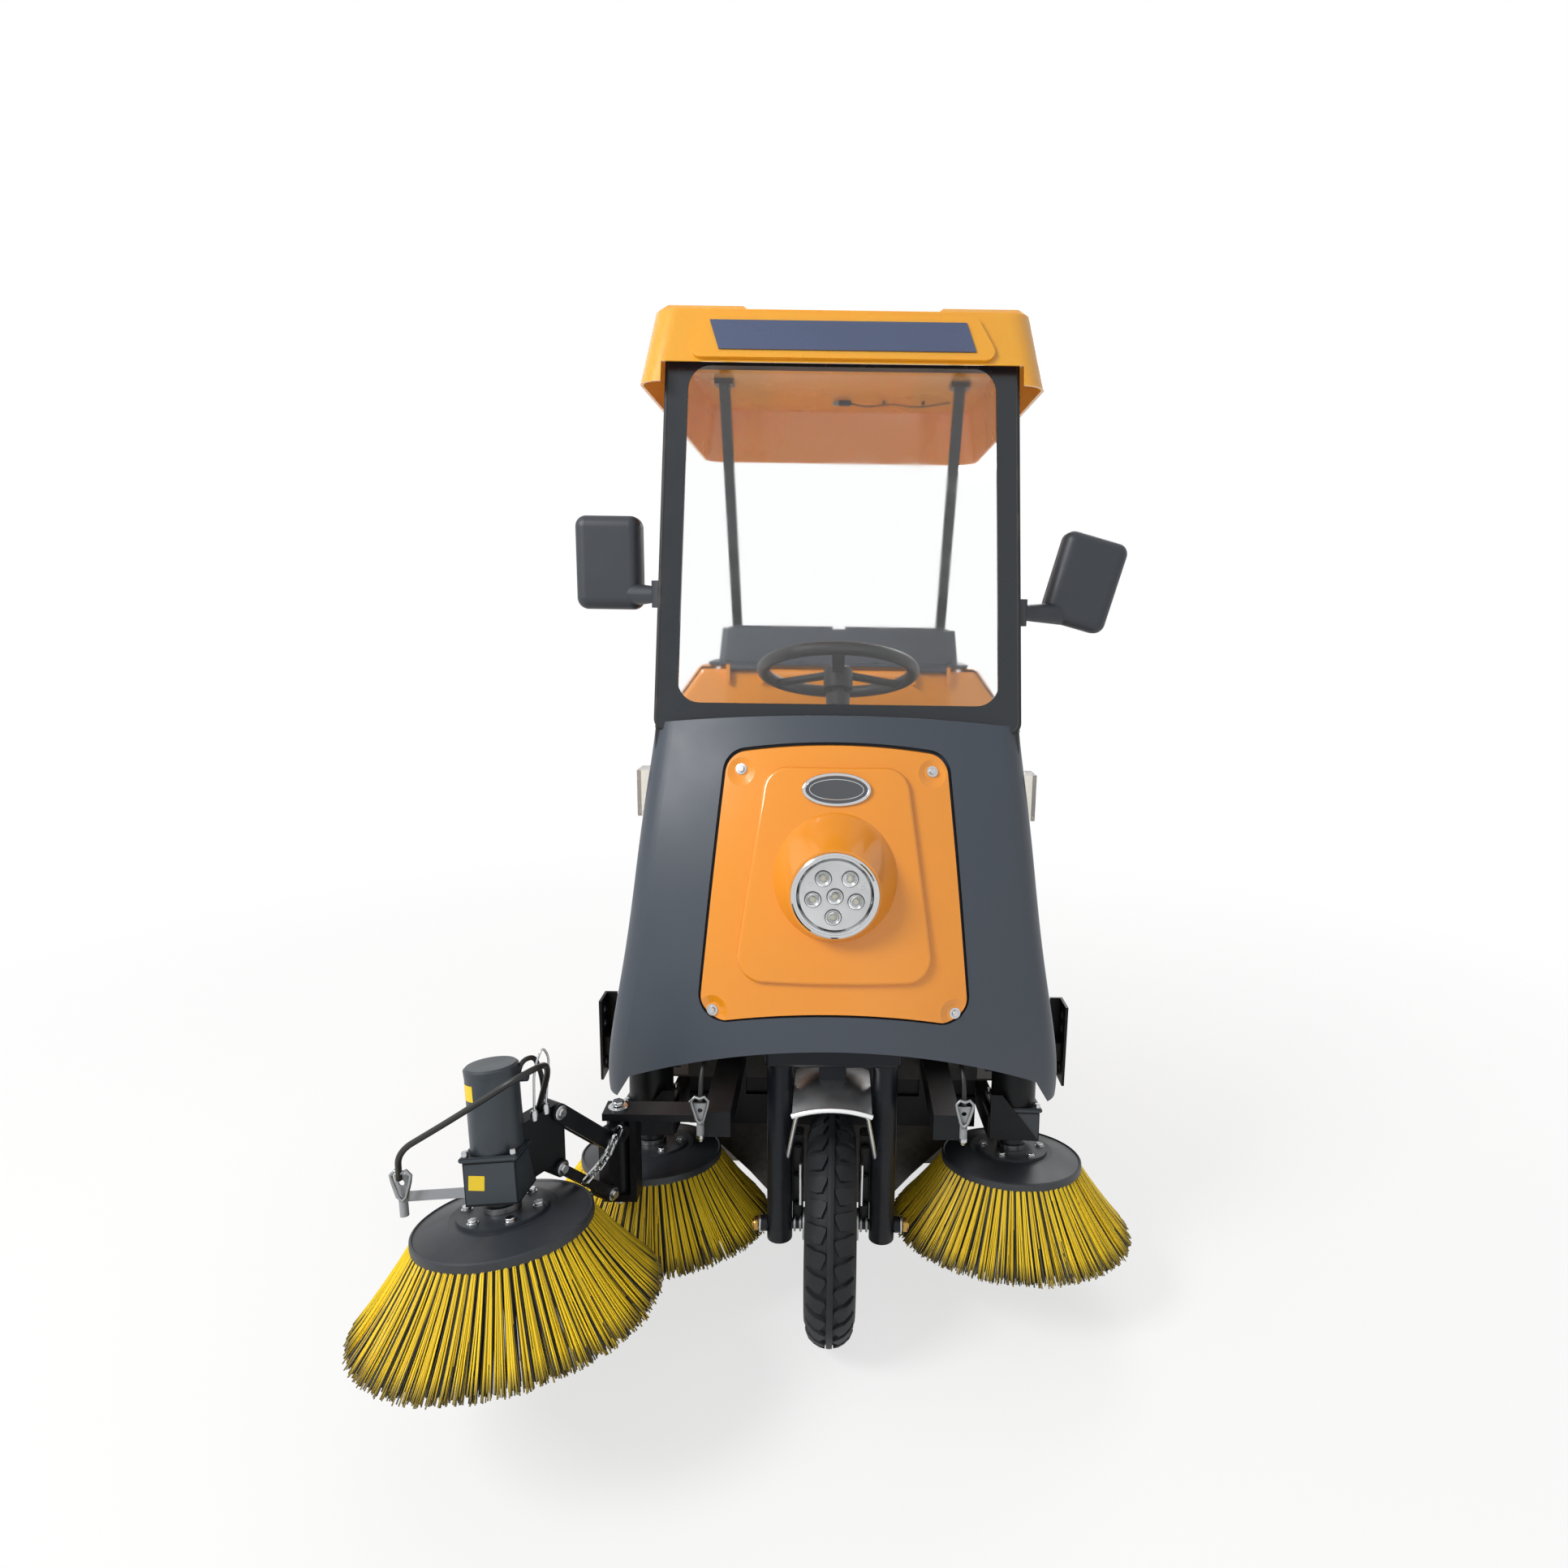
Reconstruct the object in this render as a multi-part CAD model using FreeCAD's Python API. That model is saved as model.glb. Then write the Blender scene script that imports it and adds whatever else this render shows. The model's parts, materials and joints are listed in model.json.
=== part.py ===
import FreeCAD, Part
import math
import os

# A three-wheeled electric road sweeper with a driver's cab under a roof.
# It is drawn in its own frame: x to its left, y to its rear from the front axle, z up from the ground.
# At the end the whole machine is moved so that the middle of its footprint is at the origin.

# General
play = 0.05          # radial running clearance of a shaft in its bore
seat_gap = 0.3       # gap between pieces that are seated but not joined
side_gap = 1.0       # axial gap beside a moving piece
overrun = 5.0        # how far a cut passes the face it starts from
sheet = 4.0          # folded steel sheet
shell = 5.0          # moulded panel

# Wheels
wheel_radius = 215.0
tyre_width = 96.0
tyre_bead_width = 70.0
tyre_shoulder_drop = 32.0
tyre_flank_drop = 45.0
rim_radius = 140.0
rim_wall = 9.0
rim_web = 12.0
hub_radius = 42.0
axle_radius = 10.0
front_hub_radius = 95.0
front_hub_width = 86.0
hub_end_radius = 30.0
wheelbase = 1150.0
rear_track = 800.0

# Front fork and its mudguard
fork_leg_radius = 25.0
fork_leg_offset = 101.0
fork_leg_foot = 28.0
fork_leg_top = 560.0
crown_half_width = 130.0
crown_thick = 40.0
crown_rear = 46.0
crown_front = 32.0
steer_trail = 35.0
stem_radius = 25.0
stem_top = 930.0
axle_nut_radius = 15.0
axle_nut_width = 12.0
guard_radius = 310.0
guard_half_width = 74.0
guard_crown = 16.0
guard_thick = 3.0
guard_front_angle = 18.0
guard_rear_angle = 33.0
guard_stay_radius = 4.0
guard_stay_drop = 150.0
guard_bracket = 22.0

# Chassis frame
rail_offset = 280.0
rail_size = 70.0
rail_bottom = 295.0
rail_front = 235.0
rail_rear = 1444.0
cross_size = 70.0
head_outer = 38.0
head_bottom = 640.0
head_top = 860.0
column_half_width = 50.0
column_deep = 50.0
neck_half_width = 24.0
neck_margin = 20.0
bearer_high = 45.0
bearer_wide = 40.0
bearer_rear = 600.0
arm_offset = 215.0
arm_wide = 50.0
arm_bottom = 440.0
arm_high = 50.0
arm_front = -70.0
arm_post_deep = 50.0

# Cab floor, console and pedals
floor_half_width = 430.0
floor_rear = 640.0
floor_front = 225.0
firewall_high = 210.0
console_half_width = 290.0
console_front = 190.0
console_rear = 330.0
console_bottom = 1010.0
console_top = 1180.0
console_face_drop = 90.0
console_leg_half = 80.0
console_leg_rear = 300.0
pedal_offset = 130.0
pedal_wide = 70.0
pedal_long = 110.0
pedal_thick = 12.0
pedal_lean = 40.0
pedal_front = 270.0
pedal_lift = 35.0
pedal_stem = 8.0

# Steering column and wheel
steer_hand_y = 413.0
steer_hand_z = 1283.0
steer_hand_radius = 166.0
steer_rim_radius = 14.0
steer_hub_radius = 32.0
steer_hub_high = 40.0
steer_spoke_wide = 26.0
steer_spoke_thick = 10.0
steer_spokes = 3
column_lean = 20.0
column_radius = 26.0
column_long = 430.0
column_shaft_radius = 11.0
column_end_gap = 12.0

# Cowl: half width and front line at each height
cowl_levels = (470.0, 631.0, 754.0, 888.0, 1117.0, 1230.0)
cowl_half_widths = (440.0, 430.0, 409.0, 392.0, 368.0, 360.0)
cowl_front_lines = (-85.0, -78.0, -58.0, -30.0, 45.0, 84.0)
cowl_front_radius = 1050.0
cowl_corner = 62.0
cowl_deep = 290.0
cowl_bottom_middle = 617.0
cowl_bottom_corner = 530.0
cowl_bottom_arch_half = 390.0
cowl_skirt_bottom = 482.0
cowl_top_middle = 1219.0
cowl_top_corner = 1192.0
cowl_top_half = 380.0
cowl_skirt_step = 28.0

# Bolted front panel and lamp
panel_bottom = 655.0
panel_top = 1145.0
panel_bottom_rise = 32.0    # arch of its foot, and of its head
panel_top_rise = 20.0
panel_half_bottom = 252.0
panel_half_top = 207.0
panel_corner = 42.0
panel_gap = 6.0
panel_proud = 4.0
recess_deep = 16.0
recess_ledge = 26.0
frame_raise = 11.0
frame_soft = 7.0         # round on the raised frame's edge
dish_radius = 24.0       # hollow around each panel bolt
dish_deep = 4.0
dish_inset = 27.0
dish_share = 0.6         # floor of that hollow against its rim
frame_bottom = 742.0
frame_top = 1126.0
frame_half_bottom = 186.0
frame_half_top = 132.0
frame_corner = 46.0
lamp_height = 917.0
lamp_radius = 76.0
lamp_front = -86.0
lamp_thick = 16.0
lamp_lip = 7.0
bulge_radius = 140.0
bulge_back = 6.0
badge_drop = 56.0
badge_height = panel_top - badge_drop
badge_half_wide = 60.0
badge_half_high = 28.0
badge_thick = 4.0
signal_height = 1054.0
signal_high = 92.0
signal_wide = 27.0
signal_deep = 60.0
signal_setback = 118.0

# Windscreen
screen_half_bottom = 355.0
screen_half_top = 337.0
screen_bottom_y = 132.0
screen_bottom_z = 1186.0
screen_top_z = 1920.0
screen_lean = 8.3
screen_thick = 6.0
screen_post = 36.0
screen_post_foot = 110.0

# Roof
roof_front = 196.0
roof_rear = 1185.0
roof_half_width = 392.0
roof_half_top = 366.0
roof_bottom = 1840.0
roof_front_edge = 1878.0
roof_front_cut_half = 345.0
roof_top = 1980.0
roof_front_lean = 40.0
roof_rear_lean = 40.0
roof_corner = 50.0
roof_wall = 6.0
roof_hump = 16.0
roof_trough_half = 180.0
roof_hump_margin = 22.0
fascia_half_bottom = 300.0
fascia_half_top = 255.0
fascia_raise = 8.0
fascia_margin = 14.0
fascia_corner = 18.0
sign_half_wide = 244.0
sign_high = 58.0
sign_skew = 9.0
sign_thick = 3.0
post_size = 26.0
post_offset = 291.0
post_top_y = 780.0
post_foot_y = 1120.0
post_block = 46.0

# Mirrors
mirror_half_wide = 66.0
mirror_high = 184.0
mirror_deep = 62.0
mirror_round = 22.0
mirror_right_x = -464.0
mirror_right_z = 1504.0
mirror_right_turn = 0.0
mirror_left_x = 494.0
mirror_left_z = 1478.0
mirror_left_turn = 15.0
mirror_back = 232.0
mirror_arm_radius = 13.0
mirror_arm_drop = 62.0
mirror_clamp = 26.0
mirror_neck_radius = 24.0

# Seat and battery
seat_half_width = 330.0
seat_front = 600.0
seat_top = 790.0
cushion_half_width = 250.0
cushion_front = 548.0
cushion_rear = 800.0
cushion_thick = 86.0
cushion_round = 30.0
back_front = 792.0
back_thick = 80.0
back_bottom = 885.0
back_top = 1152.0
back_half_width = 235.0
back_post_half = 16.0
battery_half_width = 290.0
battery_front = 640.0
battery_rear = 850.0
battery_high = 300.0

# Rear body, lid, hopper and its door
body_front = 880.0
body_rear = 1450.0
body_half_width = 480.0
body_bottom = 335.0
body_waist_z = 1000.0
body_shoulder_half = 440.0
body_shoulder_z = 1180.0
body_top_half = 375.0
body_top = 1270.0
body_edge_round = 26.0
arch_gap = 38.0
arch_wall = 4.0
arch_inner = 338.0
lid_half_width = 350.0
lid_front = 886.0
lid_rear = 1036.0
lid_flange_thick = 8.0
lid_flange_wide = 22.0
lid_high = 98.0
lid_draft = 10.0
lid_wall = 5.0
lid_round = 18.0
lid_pad_gap = 34.0
lid_pad_high = 7.0
lid_pad_margin = 30.0
lid_hinge_y = 870.0
lid_hinge_z = 1264.0
lid_hinge_half = 250.0
door_half_width = 360.0
door_bottom = 470.0
door_top = 1010.0
door_thick = 26.0
door_gap = 4.0
door_hinge_out = 8.0
door_hinge_up = 8.0
barrel_radius = 8.0
barrel_long = 80.0
barrel_pin = 4.0
barrel_ear = 10.0
door_hinge_half = 230.0
door_grip = 70.0
bin_half_width = 315.0
bin_front = 905.0
bin_rear = 1425.0
bin_top = 800.0
bumper_deep = 50.0
bumper_high = 60.0
bumper_half_width = 420.0
hitch_long = 70.0
hitch_half = 32.0
hitch_thick = 14.0
hitch_bore = 11.0
tail_half = 34.0
tail_high = 120.0
tail_deep = 18.0
tail_offset = 424.0
tail_z = 760.0

# Rear axle
axle_tube_radius = 32.0
axle_tube_half = 335.0
gear_radius = 80.0
gear_half = 75.0
axle_plate_thick = 14.0
axle_plate_half = 55.0

# Main brush and its tunnel
main_brush_y = 700.0
main_brush_z = 150.0
main_brush_radius = 130.0
main_brush_half = 300.0
main_core_radius = 62.0
main_rows = 12
main_row_share = 0.55
main_shaft_radius = 12.0
tunnel_half = 334.0
tunnel_front = 548.0
tunnel_rear = 852.0
tunnel_bottom = 62.0
skirt_bottom = 16.0
skirt_thick = 6.0
skirt_lap = 30.0

# Side brush units, left and right alike
side_x = 380.0
side_y = 140.0
side_z = 275.0
side_tilt_out = 1.0
side_tilt_back = 8.0
tip_radius = 247.0
tip_drop = 130.0
disc_radius = 144.0
disc_rim = 9.0
disc_high = 24.0
disc_top_radius = 86.0
flange_radius = 74.0
flange_thick = 6.0
tuft_count = 56
tuft_share = 0.62
bristle_wall = 52.0
bristle_root_drop = 3.0
neck_radius = 24.0
side_box_bottom = 60.0
side_box_half = 47.0
side_box_high = 68.0
side_motor_radius = 46.0
side_motor_long = 90.0
motor_cap_inset = 5.0
motor_cap_high = 5.0
shaft_radius = 10.0
shaft_stick = 24.0
side_arm_inner = 322.0
side_arm_wide = 30.0
side_arm_high = 46.0
side_hinge_y = 430.0
side_hinge_z = 330.0
side_hinge_radius = 10.0
side_hinge_boss = 22.0
side_nut_radius = 16.0
side_nut_wide = 8.0
gusset_thick = 8.0
gusset_wide = 70.0
gusset_high = 92.0

# Boom with the reach brush, on the right
boom_x = -540.0
boom_y = -288.0
boom_z = 404.0
boom_tilt_out = 5.0
boom_tilt_back = 8.0
swing_x = -405.0
swing_y = -45.0
link_root = 42.0
link_reach = 123.0
link_rise = 118.0
link_low_z = 334.0
link_spacing = 105.0
link_pin = 7.0
link_eye = 15.0
link_half = 22.0
link_plate = 6.0
lower_bar_high = 16.0
knuckle_radius = 22.0
knuckle_bottom = 318.0
knuckle_top = 468.0
ear_half = 13.0
swing_pin = 12.0
bracket_half = 25.0
bracket_plate = 14.0
bracket_web = 12.0
head_half = 13.0
head_arm_lift = 6.0
boom_box_bottom = 53.0
boom_box_half = 43.0
boom_box_high = 81.0
boom_motor_radius = 43.0
boom_motor_long = 135.0

# Water hose of the boom, from its nozzle over the motor to the arm of the head
hose_radius = 5.0
hose_bend_share = 0.45
hose_end_reach = 195.0
hose_front_gap = 24.0
hose_side_gap = 32.0
hose_rise = 40.0

# Spray nozzles
nozzle_plate_wide = 24.0
nozzle_plate_high = 46.0
nozzle_plate_thick = 3.0
nozzle_radius = 7.0
nozzle_long = 22.0
nozzle_offset = 246.0
nozzle_top = 508.0
boom_nozzle_reach = 142.0
boom_strip_high = 16.0

# Side brackets
step_offset = 545.0
step_thick = 6.0
step_half = 32.0
step_bottom = 310.0
step_top = 507.0
step_arm_half = 15.0
step_fold = 24.0
step_hole = 9.0

# Derived places
rail_top = rail_bottom + rail_size
rail_out = rail_offset + rail_size / 2
floor_z = rail_top + bearer_high
side_hinge = (side_hinge_y, side_hinge_z)
link_top_z = link_low_z + link_spacing
pieces = {}


def vec(x, y, z):
    return FreeCAD.Vector(x, y, z)


def block(x0, x1, y0, y1, z0, z1):
    """Rectangular solid between its low and high faces."""
    return Part.makeBox(x1 - x0, y1 - y0, z1 - z0, vec(x0, y0, z0))


def rod(start, end, radius):
    """Round bar from one point to another."""
    along = vec(*end) - vec(*start)
    return Part.makeCylinder(radius, along.Length, vec(*start), along)


def prism(points, direction):
    """Solid with straight sides drawn on a closed outline."""
    wire = Part.makePolygon([vec(*p) for p in points] + [vec(*points[0])])
    return Part.Face(wire).extrude(vec(*direction))


def prism_x(outline, x0, x1):
    return prism([(x0, y, z) for y, z in outline], (x1 - x0, 0, 0))


def prism_y(outline, y0, y1):
    return prism([(x, y0, z) for x, z in outline], (0, y1 - y0, 0))


def prism_z(outline, z0, z1):
    return prism([(x, y, z0) for x, y in outline], (0, 0, z1 - z0))


def join(*shapes):
    """One solid from shapes that touch or overlap."""
    return shapes[0].multiFuse(list(shapes[1:])).removeSplitter()


def group(*shapes):
    """Solids that stay apart in one piece."""
    return Part.makeCompound(list(shapes))


def mirror(shape):
    """The same shape on the other side of the centre plane."""
    return shape.mirror(vec(0, 0, 0), vec(1, 0, 0))


def both(shape):
    return group(shape, mirror(shape))


def turned(shape, centre, axis, angle):
    copy = shape.copy()
    copy.rotate(vec(*centre), vec(*axis), angle)
    return copy


def revolve_x(profile, centre):
    """Solid of revolution about a line along x; the profile holds x and radius."""
    points = [(centre[0] + x, centre[1], centre[2] + r) for x, r in profile]
    wire = Part.makePolygon([vec(*p) for p in points] + [vec(*points[0])])
    return Part.Face(wire).revolve(vec(*centre), vec(1, 0, 0), 360)


def revolve_z(profile):
    """Solid of revolution about the z axis; the profile holds radius and height."""
    points = [(r, 0, z) for r, z in profile]
    wire = Part.makePolygon([vec(*p) for p in points] + [vec(*points[0])])
    return Part.Face(wire).revolve(vec(0, 0, 0), vec(0, 0, 1), 360)


def round_rect(half_bottom, half_top, bottom, top, corner, y):
    """Closed wire in a plane across y: a trapezoid with rounded corners."""
    corners = [(-half_bottom, bottom), (half_bottom, bottom), (half_top, top), (-half_top, top)]
    edges = []
    count = len(corners)
    joints = []
    for i, (x, z) in enumerate(corners):
        here = vec(x, y, z)
        before = vec(corners[i - 1][0], y, corners[i - 1][1]) - here
        after = vec(corners[(i + 1) % count][0], y, corners[(i + 1) % count][1]) - here
        half_turn = before.getAngle(after) / 2
        reach = corner / math.tan(half_turn)
        before.normalize()
        after.normalize()
        middle = before + after
        middle.normalize()
        centre_far = corner / math.sin(half_turn)
        start, end = here + before * reach, here + after * reach
        joints.append((start, here + middle * (centre_far - corner), end))
    for i, (start, middle, end) in enumerate(joints):
        edges.append(Part.Arc(start, middle, end).toShape())
        edges.append(Part.LineSegment(end, joints[(i + 1) % count][0]).toShape())
    return Part.Wire(edges)


def panel_block(half_bottom, half_top, bottom, top, corner, y0, y1):
    """Solid cut straight through along y with that rounded outline."""
    wire = round_rect(half_bottom, half_top, bottom, top, corner, y0)
    return Part.Face(wire).extrude(vec(0, y1 - y0, 0))


def lean_bar(start, end, half):
    """Square bar between two points, its faces square to x."""
    y0, z0 = start[1], start[2]
    y1, z1 = end[1], end[2]
    length = math.hypot(y1 - y0, z1 - z0)
    ny, nz = -(z1 - z0) / length * half, (y1 - y0) / length * half
    outline = [(y0 + ny, z0 + nz), (y0 - ny, z0 - nz), (y1 - ny, z1 - nz), (y1 + ny, z1 + nz)]
    return prism_x(outline, start[0] - half, start[0] + half)


# Wheels

def tyre(centre):
    """Tyre with rounded shoulders, open on the rim."""
    half = tyre_width / 2
    bead = tyre_bead_width / 2
    flank = wheel_radius - tyre_flank_drop
    shoulder = wheel_radius - tyre_shoulder_drop
    edges = [
        Part.LineSegment(vec(-bead, 0, rim_radius), vec(bead, 0, rim_radius)).toShape(),
        Part.LineSegment(vec(bead, 0, rim_radius), vec(half, 0, flank)).toShape(),
        Part.LineSegment(vec(half, 0, flank), vec(half, 0, shoulder)).toShape(),
        Part.Arc(vec(half, 0, shoulder), vec(0, 0, wheel_radius), vec(-half, 0, shoulder)).toShape(),
        Part.LineSegment(vec(-half, 0, shoulder), vec(-half, 0, flank)).toShape(),
        Part.LineSegment(vec(-half, 0, flank), vec(-bead, 0, rim_radius)).toShape(),
    ]
    shape = Part.Face(Part.Wire(edges)).revolve(vec(0, 0, 0), vec(1, 0, 0), 360)
    shape.translate(vec(*centre))
    return shape


def rim(centre, hub_half, bore):
    """Rim band, web and hub with a through bore."""
    bead = tyre_bead_width / 2
    web = rim_web / 2
    inner = rim_radius - rim_wall
    profile = [
        (-hub_half, bore), (hub_half, bore), (hub_half, hub_radius), (web, hub_radius), (web, inner),
        (bead, inner), (bead, rim_radius), (-bead, rim_radius), (-bead, inner), (-web, inner),
        (-web, hub_radius), (-hub_half, hub_radius),
    ]
    return revolve_x(profile, centre)


def make_front_wheel():
    centre = (0, 0, wheel_radius)
    pieces["front_tyre"] = tyre(centre)
    half = front_hub_width / 2
    web = rim_web / 2
    bead = tyre_bead_width / 2
    inner = rim_radius - rim_wall
    bore = axle_radius + play
    end = half + rim_web
    profile = [
        (-end, bore), (end, bore), (end, hub_end_radius), (half, hub_end_radius), (half, front_hub_radius),
        (web, front_hub_radius), (web, inner), (bead, inner), (bead, rim_radius), (-bead, rim_radius),
        (-bead, inner), (-web, inner), (-web, front_hub_radius), (-half, front_hub_radius),
        (-half, hub_end_radius), (-end, hub_end_radius),
    ]
    pieces["front_hub"] = revolve_x(profile, centre)


def make_rear_wheels():
    for name, side in (("left", 1), ("right", -1)):
        centre = (side * rear_track / 2, wheelbase, wheel_radius)
        pieces["rear_tyre_" + name] = tyre(centre)
        pieces["rear_rim_" + name] = rim(centre, hub_radius, axle_radius * 2 + play)


# Front fork

def make_fork():
    leg = rod((fork_leg_offset, 0, wheel_radius - fork_leg_foot),
              (fork_leg_offset, 0, fork_leg_top), fork_leg_radius)
    crown = block(-crown_half_width, crown_half_width, -crown_front, steer_trail + crown_rear,
                  fork_leg_top, fork_leg_top + crown_thick)
    crown = crown.makeFillet(crown_thick / 4, crown.Edges)
    stem = rod((0, steer_trail, fork_leg_top), (0, steer_trail, stem_top), stem_radius)
    leg_out = fork_leg_offset + fork_leg_radius
    axle = rod((-leg_out, 0, wheel_radius), (leg_out, 0, wheel_radius), axle_radius)
    nut = rod((leg_out - play, 0, wheel_radius), (leg_out + axle_nut_width, 0, wheel_radius), axle_nut_radius)
    pieces["front_fork"] = join(leg, mirror(leg), crown, stem, axle, nut, mirror(nut))


def make_guard():
    """Mudguard: a crowned strip swept about the wheel, on a bracket under the crown, with two stays."""
    low, high = guard_radius - guard_crown, guard_radius
    outer = Part.Arc(vec(-guard_half_width, 0, low), vec(0, 0, high), vec(guard_half_width, 0, low)).toShape()
    inner = Part.Arc(vec(guard_half_width, 0, low - guard_thick), vec(0, 0, high - guard_thick),
                     vec(-guard_half_width, 0, low - guard_thick)).toShape()
    half, bottom = guard_half_width, low - guard_thick
    right = Part.LineSegment(vec(half, 0, low), vec(half, 0, bottom)).toShape()
    left = Part.LineSegment(vec(-half, 0, bottom), vec(-half, 0, low)).toShape()
    strip = Part.Face(Part.Wire([outer, right, inner, left]))
    strip.rotate(vec(0, 0, 0), vec(1, 0, 0), guard_front_angle)
    strip = strip.revolve(vec(0, 0, 0), vec(1, 0, 0), -guard_front_angle - guard_rear_angle)
    strip.translate(vec(0, 0, wheel_radius))
    top = wheel_radius + guard_radius
    bracket = block(-guard_bracket, guard_bracket, 0, guard_bracket, top - guard_thick, fork_leg_top)
    angle = math.radians(guard_front_angle)
    edge_y = -low * math.sin(angle)
    edge_z = wheel_radius + low * math.cos(angle)
    stay_x = guard_half_width - guard_stay_radius * 2
    leg_x = fork_leg_offset - fork_leg_radius / 2
    stay = rod((stay_x, edge_y, edge_z), (leg_x, 0, edge_z - guard_stay_drop), guard_stay_radius)
    stay = stay.cut(pieces["front_fork"])
    pieces["front_fender"] = join(strip, bracket.cut(pieces["front_fork"]), stay, mirror(stay))


# Chassis frame

def make_frame():
    rail = block(rail_offset - rail_size / 2, rail_out, rail_front, rail_rear, rail_bottom, rail_top)
    reach = rail_offset - rail_size / 2
    front_cross = block(-rail_out, rail_out, rail_front, rail_front + cross_size, rail_bottom, rail_top)
    rear_cross = block(-reach, reach, rail_rear - cross_size, rail_rear, rail_bottom, rail_top)
    column = block(-column_half_width, column_half_width, rail_front, rail_front + column_deep,
                   rail_top, head_top)
    head = rod((0, steer_trail, head_bottom), (0, steer_trail, head_top), head_outer)
    neck = block(-neck_half_width, neck_half_width, steer_trail, rail_front,
                 head_bottom + neck_margin, head_top - neck_margin)
    bore = rod((0, steer_trail, head_bottom - overrun), (0, steer_trail, head_top + overrun),
               stem_radius + play)
    inner, outer = arm_offset - arm_wide / 2, arm_offset + arm_wide / 2
    post = block(inner, outer, rail_front, rail_front + arm_post_deep, rail_top, arm_bottom + arm_high)
    arm = block(inner, outer, arm_front, rail_front, arm_bottom, arm_bottom + arm_high)
    solids = [rail, mirror(rail), front_cross, rear_cross, column, head, neck, post, mirror(post), arm,
              mirror(arm)]
    for y in (floor_front + bearer_wide, bearer_rear):
        solids.append(block(-rail_out, rail_out, y - bearer_wide / 2, y + bearer_wide / 2,
                            rail_top, floor_z))
    step = block(-step_offset, step_offset, side_hinge_y - step_arm_half, side_hinge_y + step_arm_half,
                 rail_top, floor_z)
    solids.append(step)
    pin_end = side_arm_inner + side_arm_wide + side_gap
    pin = rod((rail_out, *side_hinge), (pin_end, *side_hinge), side_hinge_radius)
    nut = rod((pin_end, *side_hinge), (pin_end + side_nut_wide, *side_hinge), side_nut_radius)
    boss = rod((rail_out, *side_hinge), (side_arm_inner - side_gap, *side_hinge), side_nut_radius)
    for solid in (pin, nut, boss):
        solids += [solid, mirror(solid)]
    plate = block(rail_offset - axle_plate_thick / 2, rail_offset + axle_plate_thick / 2,
                  wheelbase - axle_plate_half, wheelbase + axle_plate_half,
                  wheel_radius + axle_tube_radius, rail_bottom)
    solids += [plate, mirror(plate)]
    pieces["chassis_frame"] = join(*solids).cut(bore)


def make_boom_bracket():
    """Forked bracket on the right arm that holds the boom's upright pin."""
    x_in, x_out = swing_x + bracket_half, swing_x - bracket_half
    y0, y1 = swing_y - bracket_half, swing_y + bracket_half
    top = block(x_out, -arm_offset, y0, y1, knuckle_top + side_gap,
                knuckle_top + side_gap + bracket_plate)
    low_top = knuckle_bottom - side_gap
    low = block(x_out, x_in + bracket_web, y0, y1, low_top - bracket_plate, low_top)
    web = block(x_in, x_in + bracket_web, y0, y1, low_top, knuckle_top + side_gap)
    pin = rod((swing_x, swing_y, low_top - bracket_plate / 2),
              (swing_x, swing_y, knuckle_top + side_gap + bracket_plate / 2), swing_pin)
    pieces["chassis_frame"] = join(pieces["chassis_frame"], top, low, web, pin)


def make_rear_axle():
    centre = (0, wheelbase, wheel_radius)
    beam = rod((-axle_tube_half, wheelbase, wheel_radius), (axle_tube_half, wheelbase, wheel_radius),
               axle_tube_radius)
    gear = revolve_x([(-gear_half, 0), (gear_half, 0), (gear_half / 2, gear_radius),
                      (-gear_half / 2, gear_radius)], centre)
    out = rear_track / 2 + hub_radius + side_gap
    spindle = rod((-out, wheelbase, wheel_radius), (out, wheelbase, wheel_radius), axle_radius * 2)
    cap = rod((out, wheelbase, wheel_radius), (out + rim_web, wheelbase, wheel_radius), hub_end_radius)
    pieces["rear_axle"] = join(beam, gear, spindle, cap, mirror(cap))


# Cab floor and driving controls

def make_floor():
    plate = block(-floor_half_width, floor_half_width, floor_front, floor_rear, floor_z, floor_z + sheet)
    wall = block(-rail_out, rail_out, floor_front, floor_front + sheet, floor_z, floor_z + firewall_high)
    column_slot = block(-column_half_width - side_gap, column_half_width + side_gap, 0,
                        rail_front + column_deep + side_gap, floor_z - overrun, head_top)
    post_slot = block(arm_offset - arm_wide / 2 - side_gap, arm_offset + arm_wide / 2 + side_gap, 0,
                      rail_front + arm_post_deep + side_gap, floor_z - overrun, arm_bottom + arm_high + side_gap)
    edge = block(floor_half_width - sheet, floor_half_width, floor_front, floor_rear,
                 floor_z - bearer_high / 2, floor_z + sheet)
    pan = join(plate, wall, edge, mirror(edge))
    pieces["floor_pan"] = pan.cut(column_slot).cut(post_slot).cut(mirror(post_slot))


def make_console():
    """Dash across the cab behind the cowl, on a leg round the steering head."""
    face = console_top - console_face_drop
    outline = [(console_front, console_bottom), (console_rear, console_bottom), (console_rear, face),
               (console_front + screen_post, console_top), (console_front, console_top)]
    dash = prism_x(outline, -console_half_width, console_half_width)
    leg = block(-console_leg_half, console_leg_half, rail_front + column_deep + side_gap, console_leg_rear,
                floor_z + sheet, console_bottom)
    pieces["dash_console"] = join(dash, leg)


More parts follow.
